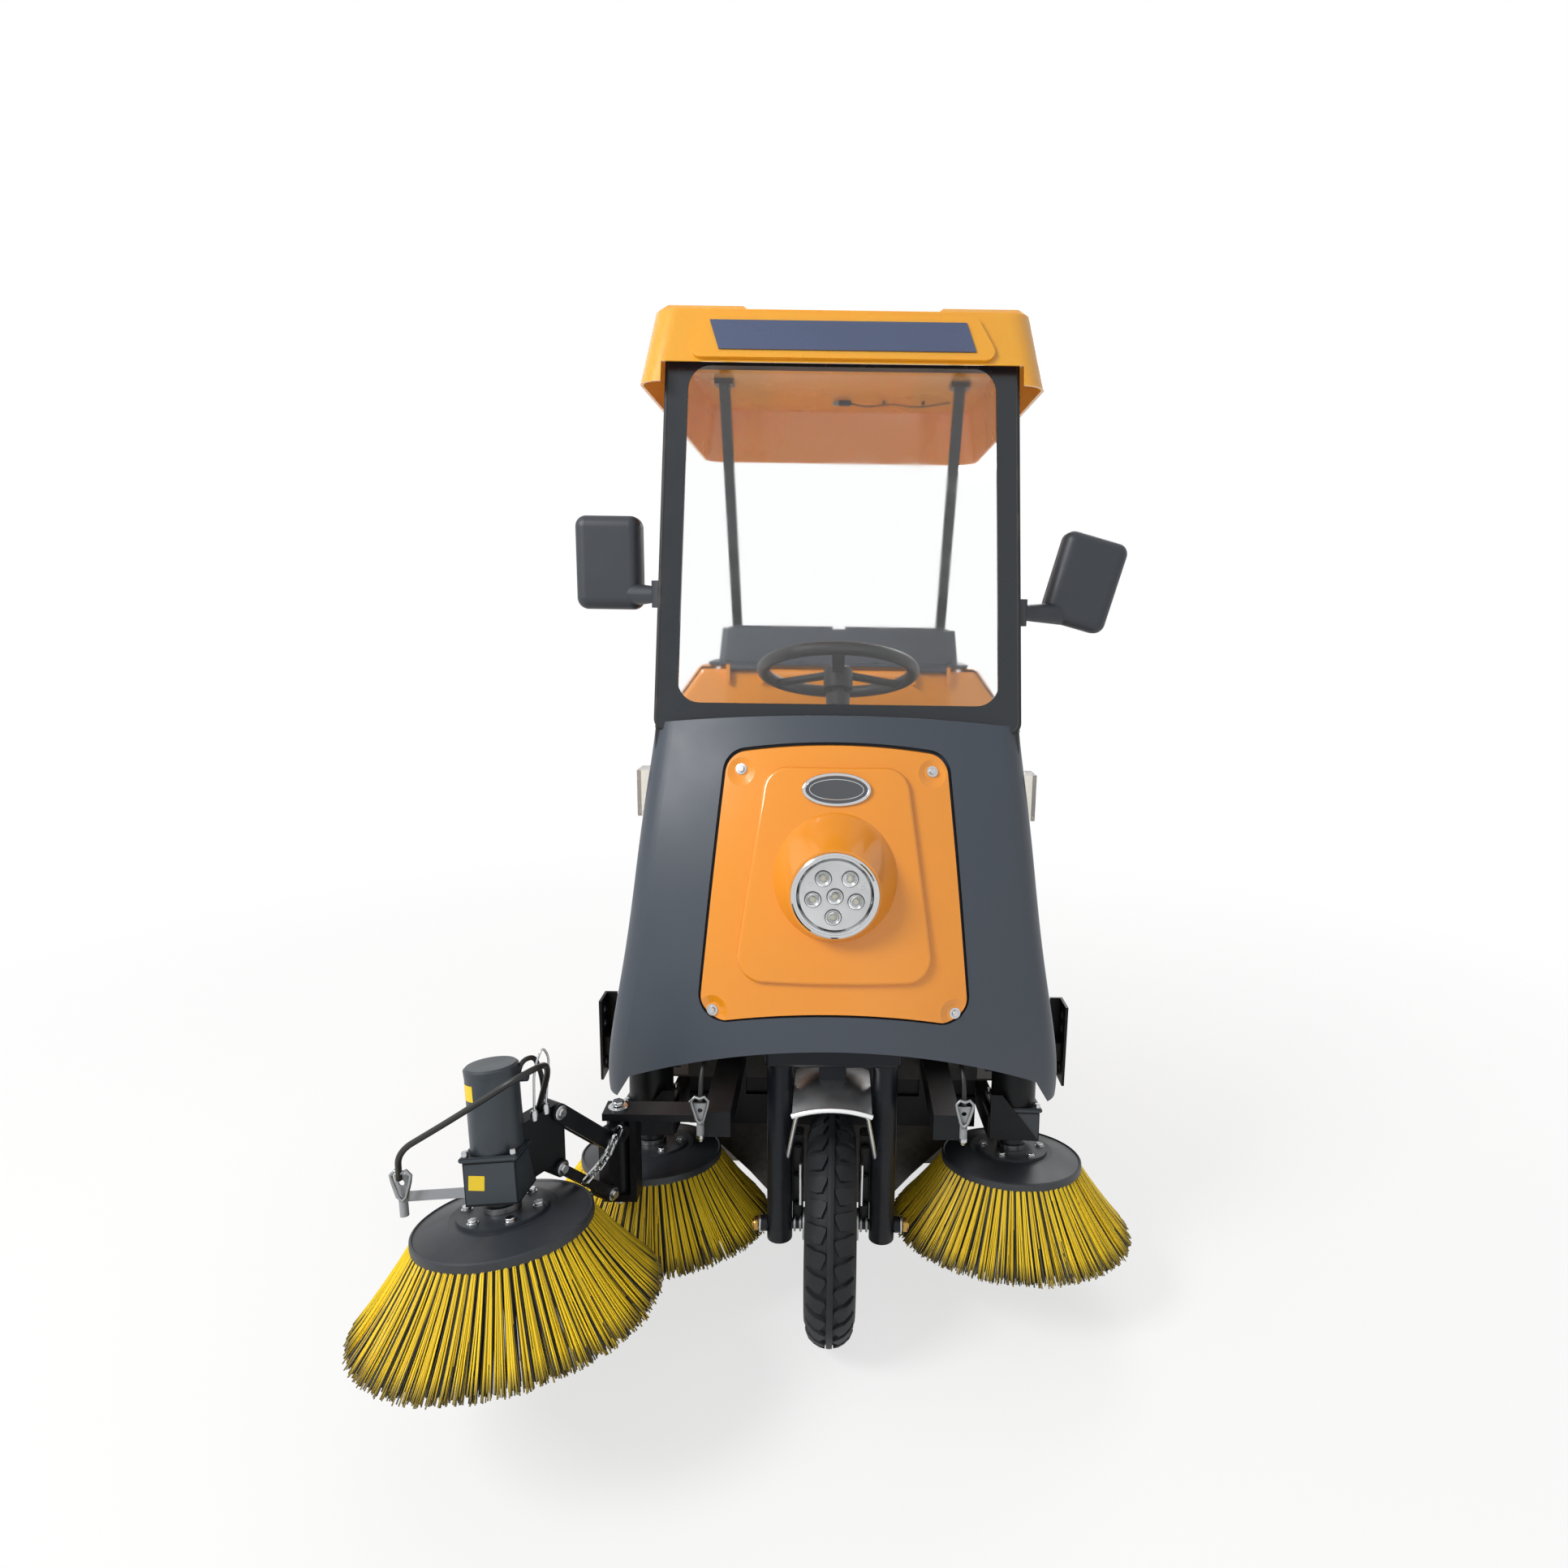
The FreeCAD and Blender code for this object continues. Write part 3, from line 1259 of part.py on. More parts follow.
def make_door():
    """Hopper door in the rear wall, hinged along its top, with a grip."""
    half = door_half_width - door_gap
    y0, y1 = body_rear - door_thick / 2 - door_gap, body_rear + door_thick / 2 - door_gap
    door = block(-half, half, y0, y1, door_bottom + door_gap, door_top - door_gap)
    grip = rod((-door_grip, y1 + door_thick, door_bottom + door_grip), (door_grip, y1 + door_thick, door_bottom
               + door_grip), barrel_radius)
    shapes = [door, grip]
    for x in (-door_grip, door_grip):
        shapes.append(rod((x, y1 - sheet, door_bottom + door_grip), (x, y1 + door_thick, door_bottom + door_grip),
                          barrel_radius))
    y, z = door_hinge()
    for side, barrel in zip((-1, 1), pieces.pop("door_barrels")):
        x = side * door_hinge_half
        strap = block(x - barrel_long / 2, x + barrel_long / 2, y1 - sheet / 2, y, door_top - barrel_long / 2, z)
        shapes += [barrel, strap]
    pieces["hopper_door"] = join(*shapes)


def make_bin():
    outer = block(-bin_half_width, bin_half_width, bin_front, bin_rear, rail_top + seat_gap, bin_top)
    inner = block(-bin_half_width + sheet, bin_half_width - sheet, bin_front + sheet, bin_rear - sheet,
                  rail_top + seat_gap + sheet, bin_top + overrun)
    pieces["hopper_bin"] = outer.cut(inner)


def make_tail():
    bumper = block(-bumper_half_width, bumper_half_width, body_rear, body_rear + bumper_deep,
                   body_bottom, body_bottom + bumper_high)
    pieces["rear_bumper"] = bumper.makeFillet(bumper_high / 5, bumper.Edges)
    y0 = body_rear + bumper_deep
    y1 = y0 + hitch_long
    low = block(-hitch_half, hitch_half, y0, y1, body_bottom + sheet * 2, body_bottom + sheet * 2 + hitch_thick)
    high_z = body_bottom + bumper_high - sheet * 2
    high = block(-hitch_half, hitch_half, y0, y1, high_z - hitch_thick, high_z)
    web = block(-hitch_half, hitch_half, y0, y0 + hitch_thick, body_bottom + sheet * 2, high_z)
    bore = rod((0, y1 - hitch_half, 0), (0, y1 - hitch_half, body_top), hitch_bore)
    pieces["rear_bumper"] = join(pieces["rear_bumper"], low, high, web).cut(bore)
    lamp = block(tail_offset - tail_half, tail_offset + tail_half, body_rear, body_rear + tail_deep,
                 tail_z - tail_high / 2, tail_z + tail_high / 2)
    pieces["signal_lamps"] = group(pieces.pop("turn_signals"), both(lamp))


# Main brush

def star(count, share, outer, inner, place):
    """Points of a toothed ring; place turns an angle and radius into a point."""
    points = []
    for i in range(count):
        for part, radius in ((-share / 2, inner), (-share / 2, outer), (share / 2, outer), (share / 2, inner)):
            points.append(place((i + part) * 2 * math.pi / count, radius))
    return points


def make_main_brush():
    def at(angle, radius):
        return main_brush_y + radius * math.sin(angle), main_brush_z + radius * math.cos(angle)

    root = main_core_radius + sheet * 2
    teeth = prism_x(star(main_rows, main_row_share, main_brush_radius, root, at),
                    -main_brush_half, main_brush_half)
    line = (main_brush_y, main_brush_z)
    core_hole = rod((-tunnel_half, *line), (tunnel_half, *line), main_core_radius)
    pieces["main_brush_bristles"] = teeth.cut(core_hole)
    core = rod((-main_brush_half, *line), (main_brush_half, *line), main_core_radius)
    shaft = rod((-tunnel_half, *line), (tunnel_half, *line), main_shaft_radius)
    pieces["main_brush_core"] = join(core, shaft)


def make_tunnel():
    line = (main_brush_y, main_brush_z)
    outer = block(-tunnel_half, tunnel_half, tunnel_front, tunnel_rear, tunnel_bottom, rail_bottom)
    inner = block(-tunnel_half + sheet, tunnel_half - sheet, tunnel_front + sheet, tunnel_rear - sheet,
                  0, rail_bottom - sheet)
    bore = rod((-tunnel_half - overrun, *line), (tunnel_half + overrun, *line), main_shaft_radius + play)
    pieces["brush_tunnel"] = outer.cut(inner).cut(bore)
    top = tunnel_bottom + skirt_lap
    side = block(tunnel_half, tunnel_half + skirt_thick, tunnel_front + side_gap, tunnel_rear - side_gap,
                 skirt_bottom, top)
    x = tunnel_half - side_gap
    front = block(-x, x, tunnel_front - skirt_thick, tunnel_front, skirt_bottom, top)
    rear = block(-x, x, tunnel_rear, tunnel_rear + skirt_thick, skirt_bottom, top)
    pieces["tunnel_skirts"] = group(side, mirror(side), front, rear)


# Side brushes and the reach brush

def brush_disc(neck_top):
    """Rimmed disc, steel flange, neck and drive shaft, standing on the z axis."""
    disc = revolve_z([(0, 0), (disc_radius, 0), (disc_radius, disc_rim), (disc_top_radius, disc_high),
                      (0, disc_high)])
    flange = Part.makeCylinder(flange_radius, flange_thick, vec(0, 0, disc_high))
    neck = Part.makeCylinder(neck_radius, neck_top - disc_high, vec(0, 0, disc_high))
    shaft = Part.makeCylinder(shaft_radius, shaft_stick + side_gap, vec(0, 0, neck_top))
    return join(disc, flange, neck, shaft)


def brush_bristles():
    """Flared ring of tufts below the disc."""
    def ring(outer, inner, z):
        points = star(tuft_count, tuft_share, outer, inner,
                      lambda a, r: vec(r * math.sin(a), r * math.cos(a), z))
        return Part.makePolygon(points + [points[0]])

    root = disc_radius - bristle_root_drop
    notch = bristle_wall / 8
    outer = Part.makeLoft([ring(root, root - notch, 0), ring(tip_radius, tip_radius - notch * 3, -tip_drop)],
                          True, True)
    hollow = Part.makeCone(root - bristle_wall, tip_radius - bristle_wall, tip_drop,
                           vec(0, 0, 0), vec(0, 0, -1))
    return outer.cut(hollow)


def motor(base, radius, long):
    can = Part.makeCylinder(radius, long - motor_cap_high, vec(0, 0, base))
    cap = Part.makeCylinder(radius - motor_cap_inset, motor_cap_high, vec(0, 0, base + long - motor_cap_high))
    return join(can, cap)


def drive_box(half, base, high):
    box = block(-half, half, -half, half, base, base + high)
    bore = Part.makeCylinder(shaft_radius + play, shaft_stick + side_gap, vec(0, 0, base))
    return box.cut(bore)


def placed(shape, centre, tilt_out, tilt_back):
    """Tilt a brush unit and set its disc's centre in place."""
    copy = shape.copy()
    copy.rotate(vec(0, 0, 0), vec(1, 0, 0), -tilt_back)
    copy.rotate(vec(0, 0, 0), vec(0, 1, 0), tilt_out)
    copy.translate(vec(*centre))
    return copy


def make_side_brushes():
    centre = (side_x, side_y, side_z)

    def put(shape):
        return placed(shape, centre, side_tilt_out, side_tilt_back)

    half = side_box_half
    top = side_box_bottom + side_box_high
    box = drive_box(half, side_box_bottom, side_box_high)
    gusset_in = side_arm_inner - side_x + sheet / 2
    gusset = prism_y([(gusset_in, side_box_bottom + sheet), (half - sheet, side_box_bottom + sheet),
                      (gusset_in + gusset_wide / 3, top + gusset_high - side_box_high + sheet),
                      (gusset_in, top + gusset_high - side_box_high + sheet)],
                     -half - gusset_thick, -half + play)
    y1 = side_hinge_y
    y0 = side_y - half * 0.8
    mid = side_z + side_box_bottom + side_box_high / 2
    low, high = mid - side_arm_high / 2, mid + side_arm_high / 2
    bar = prism_x([(y1, side_hinge_z - side_hinge_boss), (y1, side_hinge_z + side_hinge_boss),
                   (y0, high), (y0, low)], side_arm_inner, side_arm_inner + side_arm_wide)
    boss = rod((side_arm_inner, *side_hinge), (side_arm_inner + side_arm_wide, *side_hinge), side_hinge_boss)
    hole = rod((side_arm_inner - overrun, *side_hinge), (side_arm_inner + side_arm_wide + overrun, *side_hinge),
               side_hinge_radius + play)
    link = block(side_arm_inner + side_arm_wide / 2, side_x - half / 2, side_y - half / 2, side_y + half / 2,
                 mid - side_arm_high / 4, mid + side_arm_high / 4)
    carrier = join(bar, boss, link, put(box), put(gusset)).cut(hole)
    carrier = carrier.cut(put(Part.makeCylinder(shaft_radius + play, shaft_stick + side_gap,
                                                vec(0, 0, side_box_bottom))))
    bristles = put(brush_bristles())
    disc = put(brush_disc(side_box_bottom - side_gap))
    drive = put(motor(top, side_motor_radius, side_motor_long))
    for name, shape in (("brush_carrier", join(carrier, drive)), ("brush_disc", disc),
                        ("brush_bristles", bristles)):
        pieces[name + "_left"] = shape
        pieces[name + "_right"] = mirror(shape)


def boom_angle():
    return math.degrees(math.atan2(boom_y - swing_y, boom_x - swing_x))


def boomed(shape):
    """Put a shape drawn along x from the swing pin where the boom stands."""
    copy = shape.copy()
    copy.rotate(vec(0, 0, 0), vec(0, 0, 1), boom_angle())
    copy.translate(vec(swing_x, swing_y, 0))
    return copy


def link(z, plate_high):
    """Two side plates with eyes, their pins and a web between them."""
    start = (link_root, z)
    long = math.hypot(link_reach, link_rise)
    rise = math.degrees(math.atan2(link_rise, link_reach))
    inner = ear_half + side_gap
    outer = inner + link_plate
    plate = block(0, long, inner, outer, -plate_high / 2, plate_high / 2)
    eye = rod((0, inner, 0), (0, outer, 0), link_eye)
    far_eye = rod((long, inner, 0), (long, outer, 0), link_eye)
    side = join(plate, eye, far_eye)
    web = block(long * 0.4, long * 0.6, -inner, inner, -plate_high / 4, plate_high / 4)
    pins = [rod((u, -outer, 0), (u, outer, 0), link_pin) for u in (0, long)]
    other = side.mirror(vec(0, 0, 0), vec(0, 1, 0))
    shape = join(side, other, web, *pins)
    shape.rotate(vec(0, 0, 0), vec(0, 1, 0), -rise)
    shape.translate(vec(start[0], 0, start[1]))

    return boomed(shape)


def make_boom():
    """Reach brush on a parallelogram of two links that swings on an upright pin."""
    barrel = rod((0, 0, knuckle_bottom), (0, 0, knuckle_top), knuckle_radius)
    ear = block(0, link_root, -ear_half, ear_half, link_low_z - link_eye, link_top_z + link_eye)
    ends = [rod((link_root, -ear_half, z), (link_root, ear_half, z), link_eye)
            for z in (link_low_z, link_top_z)]
    holes = [rod((link_root, -link_half * 2, z), (link_root, link_half * 2, z), link_pin + play)
             for z in (link_low_z, link_top_z)]
    pin_hole = rod((0, 0, 0), (0, 0, body_top), swing_pin + play)
    base = join(barrel, ear, *ends).cut(pin_hole)
    for hole in holes:
        base = base.cut(hole)
    pieces["boom_base"] = boomed(base)
    pieces["boom_upper_link"] = link(link_top_z, link_eye * 2)
    pieces["boom_lower_link"] = link(link_low_z, lower_bar_high)
    centre = (boom_x, boom_y, boom_z)

    def put(shape):
        return placed(shape, centre, -boom_tilt_out, boom_tilt_back)

    reach = math.hypot(boom_x - swing_x, boom_y - swing_y)
    head_u = link_root + link_reach
    head_z = [link_low_z + link_rise, link_top_z + link_rise]
    upright = block(head_u - link_eye, head_u + link_eye, -head_half, head_half, *head_z)
    arm = block(head_u, reach - boom_box_half / 2, -head_half, head_half,
                boom_z + boom_box_bottom + head_arm_lift, head_z[1] + link_eye)
    eyes = [rod((head_u, -head_half, z), (head_u, head_half, z), link_eye) for z in head_z]
    holes = [rod((head_u, -link_half * 2, z), (head_u, link_half * 2, z), link_pin + play) for z in head_z]
    room = put(Part.makeCylinder(boom_motor_radius + seat_gap, boom_motor_long * 2,
                                 vec(0, 0, boom_box_bottom + boom_box_high)))
    box = put(drive_box(boom_box_half, boom_box_bottom, boom_box_high))
    head = join(boomed(join(upright, arm, *eyes)), box).cut(room)
    for hole in holes:
        head = head.cut(boomed(hole))
    head = head.cut(put(Part.makeCylinder(shaft_radius + play, shaft_stick + side_gap,
                                          vec(0, 0, boom_box_bottom))))
    pieces["boom_head"] = head
    pieces["boom_motor"] = put(motor(boom_box_bottom + boom_box_high, boom_motor_radius, boom_motor_long))
    pieces["boom_disc"] = put(brush_disc(boom_box_bottom - side_gap))
    pieces["boom_bristles"] = put(brush_bristles())
    strip_z = boom_box_bottom + boom_strip_high
    strip = block(-boom_nozzle_reach, -boom_box_half, -boom_box_half, -boom_box_half + nozzle_plate_thick,
                  strip_z, strip_z + boom_strip_high)
    nozzle = nozzle_unit()
    nozzle.translate(vec(-boom_nozzle_reach, -boom_box_half, strip_z + nozzle_plate_high / 2))
    pieces["boom_nozzle"] = put(join(strip, nozzle))


# Spray nozzles and side brackets

def hose(points, radius):
    """Round hose of straight runs joined by tangent arcs, each as wide as its runs allow."""
    edges = []
    start = points[0]
    for before, corner, after in zip(points, points[1:], points[2:]):
        back, ahead = before - corner, after - corner
        half_turn = (math.pi - back.getAngle(ahead)) / 2
        reach = hose_bend_share * min(back.Length, ahead.Length)
        bend = reach / math.tan(half_turn)
        inward = (back.normalize() + ahead.normalize()).normalize()
        first, last = corner + back * reach, corner + ahead * reach
        middle = corner + inward * (bend / math.cos(half_turn) - bend)
        edges += [Part.LineSegment(start, first).toShape(), Part.Arc(first, middle, last).toShape()]
        start = last
    edges.append(Part.LineSegment(start, points[-1]).toShape())
    section = Part.Wire(Part.Circle(points[0], points[1] - points[0], radius).toShape())
    return Part.Wire(edges).makePipeShell([section], True, False)


def make_boom_hose():
    """Hose of the boom's nozzle: up beside the motor, across its front and down to the arm."""
    angle = math.radians(boom_angle())
    arm_top = link_top_z + link_rise + link_eye
    end = vec(swing_x + hose_end_reach * math.cos(angle), swing_y + hose_end_reach * math.sin(angle),
              arm_top + seat_gap)
    box = pieces["boom_nozzle"].optimalBoundingBox(False)
    start = vec(box.XMin + nozzle_plate_wide / 2, (box.YMin + box.YMax) / 2, box.ZMax - hose_radius)
    front = boom_y - boom_motor_radius - hose_front_gap
    top = boom_z + boom_box_bottom + boom_box_high + boom_motor_long
    side = boom_x + boom_motor_radius + hose_side_gap
    cord = hose([
        start, start + vec(hose_front_gap / 2, -hose_front_gap, link_reach / 2),
        vec(boom_x - boom_motor_radius, front, top - hose_rise), vec(side, front, top + hose_rise),
        vec(side, end.y - hose_side_gap, top), end], hose_radius)
    pieces["boom_hose"] = cord.cut(pieces["boom_nozzle"]).cut(pieces["boom_head"])


def nozzle_unit():
    """Keyhole-shaped plate with a nozzle body hanging from it, centred on x, its back at y = 0."""
    half = nozzle_plate_wide / 2
    outline = [(-half, nozzle_plate_high / 2), (half, nozzle_plate_high / 2), (half * 0.5, -nozzle_plate_high / 2),
               (-half * 0.5, -nozzle_plate_high / 2)]
    plate = prism_y(outline, -nozzle_plate_thick, 0)
    slot = rod((0, -nozzle_plate_thick - overrun, nozzle_plate_high / 5), (0, overrun, nozzle_plate_high / 5),
               half * 0.4)
    low = -nozzle_plate_high / 2
    body = rod((0, -nozzle_plate_thick / 2, low + sheet), (0, -nozzle_plate_thick / 2, low - nozzle_long),
               nozzle_radius)
    return join(plate.cut(slot), body)


def make_nozzles():
    unit = nozzle_unit()
    unit.translate(vec(nozzle_offset, arm_front, nozzle_top - nozzle_plate_high / 2))
    pieces["spray_nozzles"] = both(unit.cut(pieces["chassis_frame"]))


def make_side_brackets():
    y0, y1 = side_hinge_y - step_half, side_hinge_y + step_half
    plate = block(step_offset, step_offset + step_thick, y0, y1, step_bottom, step_top)
    fold = block(step_offset - step_fold, step_offset, y1 - step_thick, y1, step_bottom, step_top)
    shape = join(plate, fold)
    for z in (step_bottom + step_half, step_top - step_half, (step_bottom + step_top) / 2 + step_half):
        shape = shape.cut(rod((step_offset - overrun, side_hinge_y, z),
                              (step_offset + step_thick + overrun, side_hinge_y, z), step_hole))
    pieces["chassis_frame"] = join(pieces["chassis_frame"], shape, mirror(shape))


def make_all():
    make_front_wheel()
    make_rear_wheels()
    make_fork()
    make_guard()
    make_frame()
    make_boom_bracket()
    make_rear_axle()
    make_floor()
    make_console()
    make_pedals()
    make_steering()
    make_cowl()
    make_panel()
    make_badge()
    make_signals()
    make_screen()
    make_roof()
    make_rear_posts()
    make_mirrors()
    make_seat()
    make_rear_body()
    make_arches()
    make_lid()
    make_door()
    make_bin()
    make_tail()
    make_main_brush()
    make_tunnel()
    make_side_brushes()
    make_boom()
    make_boom_hose()
    make_nozzles()
    make_side_brackets()
    pieces["floor_pan"] = pieces["floor_pan"].cut(pieces["chassis_frame"])


def place_at_origin():
    """Offset that brings the middle of the footprint to the origin."""
    whole = Part.makeCompound(list(pieces.values()))
    box = whole.optimalBoundingBox(False)
    return vec(-(box.XMin + box.XMax) / 2, -(box.YMin + box.YMax) / 2, -box.ZMin)


make_all()
move = place_at_origin()
os.makedirs("parts", exist_ok=True)
for name, shape in sorted(pieces.items()):
    moved = shape.copy()
    moved.translate(move)
    moved.exportStep("parts/" + name + ".step")
print("moved by", round(move.x, 3), round(move.y, 3), round(move.z, 3))
print("pieces", len(pieces))
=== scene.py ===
"""Compact road sweeper: finishes and small detail around its packed CAD frame."""

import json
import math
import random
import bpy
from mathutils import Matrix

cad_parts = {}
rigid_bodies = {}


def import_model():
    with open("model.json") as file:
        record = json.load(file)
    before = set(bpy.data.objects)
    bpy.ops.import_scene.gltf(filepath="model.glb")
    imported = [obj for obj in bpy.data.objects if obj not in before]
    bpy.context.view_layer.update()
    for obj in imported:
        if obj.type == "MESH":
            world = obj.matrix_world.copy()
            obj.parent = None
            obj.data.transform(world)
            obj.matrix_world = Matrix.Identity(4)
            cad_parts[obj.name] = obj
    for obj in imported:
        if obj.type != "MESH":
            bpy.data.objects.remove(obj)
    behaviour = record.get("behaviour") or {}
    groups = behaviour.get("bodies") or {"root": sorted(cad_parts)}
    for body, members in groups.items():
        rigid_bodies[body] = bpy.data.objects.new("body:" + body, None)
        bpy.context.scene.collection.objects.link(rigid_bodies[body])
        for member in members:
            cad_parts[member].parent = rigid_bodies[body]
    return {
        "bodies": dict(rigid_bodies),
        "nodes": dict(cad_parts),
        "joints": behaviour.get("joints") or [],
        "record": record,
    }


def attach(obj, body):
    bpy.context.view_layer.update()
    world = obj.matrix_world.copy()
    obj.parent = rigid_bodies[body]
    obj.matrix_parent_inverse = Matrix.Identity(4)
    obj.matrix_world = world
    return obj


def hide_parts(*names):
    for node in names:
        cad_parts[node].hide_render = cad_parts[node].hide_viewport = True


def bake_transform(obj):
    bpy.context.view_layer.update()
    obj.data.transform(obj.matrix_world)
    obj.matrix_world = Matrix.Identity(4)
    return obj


bl_info = {
    "name": "Compact road sweeper looks",
    "version": (1, 0, 0),
    "blender": (4, 5, 0),
    "location": "View3D > Sidebar > Sweeper",
    "description": "Builds the sweeper's bristles, treads, fittings, finishes and stage around its CAD frame",
    "category": "Object",
}

import bmesh
import bpy
from mathutils import Matrix, Vector
from mathutils.bvhtree import BVHTree

# The CAD source is drawn about the front axle. Its tow bore, in mm there, tells how far it was moved.
TOW_BORE = Vector((0, 1538, 365))
SHIFT = Vector((0, 0, 0))
frame = {}
finishes = {}


class SweeperLook(bpy.types.PropertyGroup):
    """What can be changed about the sweeper's finish and detail."""
    shell_colour: bpy.props.FloatVectorProperty(
        name="Shell colour", description="Orange of the roof, front panel and hood, sRGB",
        subtype="COLOR_GAMMA", size=3, min=0, max=1, default=(0.885, 0.545, 0.075))
    cowl_colour: bpy.props.FloatVectorProperty(
        name="Cowl colour", description="Grey of the front cowl and rear lid, sRGB",
        subtype="COLOR_GAMMA", size=3, min=0, max=1, default=(0.222, 0.250, 0.288))
    dust: bpy.props.FloatProperty(
        name="Dust", description="How much road dust lies on the low parts", subtype="FACTOR",
        min=0, max=1, default=0.35)
    tuft_strands: bpy.props.IntProperty(
        name="Strands in a tuft", description="Bristles in each yellow tuft of a side brush",
        min=6, max=40, default=22)
    strand_radius: bpy.props.FloatProperty(
        name="Strand radius", description="Half the thickness of one bristle",
        subtype="DISTANCE", unit="LENGTH", min=0.0005, max=0.004, default=0.0013)
    tread_blocks: bpy.props.IntProperty(
        name="Tread blocks", description="Arrow blocks around each tyre", min=16, max=90, default=31)
    cloth_pressure: bpy.props.FloatProperty(
        name="Cushion pressure", description="Pressure that puffs the seat cushions",
        min=0, max=20, default=4.0)
    camera_lens: bpy.props.FloatProperty(
        name="Lens", description="Focal length of the camera on a 36 mm sensor",
        subtype="DISTANCE_CAMERA", min=10, max=200, default=21.95)


def look():
    """The settings shown in the panel."""
    return bpy.context.scene.sweeper_look


def at(x, y, z):
    """Point of the CAD source in mm, as a point of the frame in metres."""
    return Vector((x, y, z)) / 1000 + SHIFT


def placed(name, data):
    """A new object for a mesh, a lamp or a camera, in the scene."""
    holder = bpy.data.objects.new(name, data)
    bpy.context.scene.collection.objects.link(holder)
    return holder


def evaluated(holder):
    """Mesh of an object with its modifiers applied."""
    return bpy.data.meshes.new_from_object(holder.evaluated_get(bpy.context.evaluated_depsgraph_get()))


# Finishes

DUST_TOP, DUST_FULL = 0.62, 0.02    # heights in metres between which the road dust grows
SPECK = 14                          # size of the dust's specks in mm
ROAD_DUST = "#8A8172"
LENS_RIB = 6                        # sets the pitch of the signal lens's ribs
LENS_BACK = 0.2                     # place along the machine behind which that lens is red


def linear(colour):
    """sRGB as a hex string or three shares, to linear RGBA."""
    if isinstance(colour, str):
        colour = [int(colour[i:i + 2], 16) / 255 for i in (1, 3, 5)]
    return [c / 12.92 if c <= 0.04045 else ((c + 0.055) / 1.055) ** 2.4 for c in colour] + [1.0]


def add(tree, kind, settings=None, **inputs):
    """One shader node, with its settings, and its inputs set to values or linked to sockets."""
    new = tree.nodes.new(kind)
    for key, value in (settings or {}).items():
        setattr(new, key, value)
    for key, value in inputs.items():
        socket = new.inputs[int(key[1:]) if key[0] == "i" and key[1:].isdigit() else key.replace("_", " ")]
        if isinstance(value, bpy.types.NodeSocket):
            tree.links.new(value, socket)
        else:
            socket.default_value = value
    return new


def maths(tree, operation, a, b=0.0):
    """Result of one operation on two values or sockets."""
    return add(tree, "ShaderNodeMath", {"operation": operation}, i0=a, i1=b).outputs[0]


def mixed(tree, share, a, b):
    """Two colours mixed by a share."""
    return add(tree, "ShaderNodeMix", {"data_type": "RGBA"}, i0=share, i6=a, i7=b).outputs[2]


def ranged(tree, value, low, high, to_low, to_high):
    """A value carried from one range into another."""
    return add(tree, "ShaderNodeMapRange", Value=value, From_Min=low, From_Max=high, To_Min=to_low,
               To_Max=to_high).outputs[0]


def noise(tree, coord, size, detail):
    """Noise with features of a size in mm."""
    return add(tree, "ShaderNodeTexNoise", Vector=coord, Scale=1000 / size, Detail=detail).outputs["Fac"]


def emptied(owner):
    """Node tree of a new material or world, with nothing in it."""
    owner.use_nodes = True
    owner.node_tree.nodes.clear()
    return owner.node_tree


def finish(name, colour, rough, metal=0.0, grain=1.0, bump=0.0, mottle=0.12, mottle_size=90.0,
           soil="#6E6455", soil_share=0.0, dust=1.0, coat=0.0, transmission=0.0, ior=1.5, sheen=0.0,
           glow=0.0):
    """A material from real sizes in mm: fine grain, slow mottling, soil in patches, dust low down."""
    finishes[name] = bpy.data.materials.new(name)
    tree = emptied(finishes[name])
    base = linear(colour)
    coord = add(tree, "ShaderNodeTexCoord").outputs["Object"]
    slow = noise(tree, coord, mottle_size, 5.0)
    dark = [c * (1 - mottle) for c in base[:3]] + [1]
    light = [min(1, c * (1 + mottle)) for c in base[:3]] + [1]
    tint = mixed(tree, slow, dark, light)
    tint = mixed(tree, ranged(tree, slow, 0.52, 0.72, 0.0, soil_share), tint, linear(soil))
    height = add(tree, "ShaderNodeSeparateXYZ", Vector=coord).outputs["Z"]
    low = ranged(tree, height, DUST_TOP, DUST_FULL, 0.0, look().dust * dust)
    low = maths(tree, "MULTIPLY", low, noise(tree, coord, SPECK, 8.0))
    tint = mixed(tree, low, tint, linear(ROAD_DUST))
    varied = ranged(tree, slow, 0.3, 0.7, max(0.02, rough - 0.06), min(1, rough + 0.06))
    shader = add(tree, "ShaderNodeBsdfPrincipled", Base_Color=tint, Roughness=varied, Metallic=metal,
                 Coat_Weight=coat, Transmission_Weight=transmission, Sheen_Weight=sheen,
                 Subsurface_Weight=glow, Subsurface_Radius=(1.0, 0.30, 0.06), Subsurface_Scale=0.014)
    if metal == 0:
        shader.inputs["IOR"].default_value = ior
    if bump:
        relief = add(tree, "ShaderNodeBump", Height=noise(tree, coord, grain, 3.0), Distance=bump / 1000,
                     Strength=0.5)
        tree.links.new(relief.outputs[0], shader.inputs["Normal"])
    add(tree, "ShaderNodeOutputMaterial", Surface=shader.outputs[0])


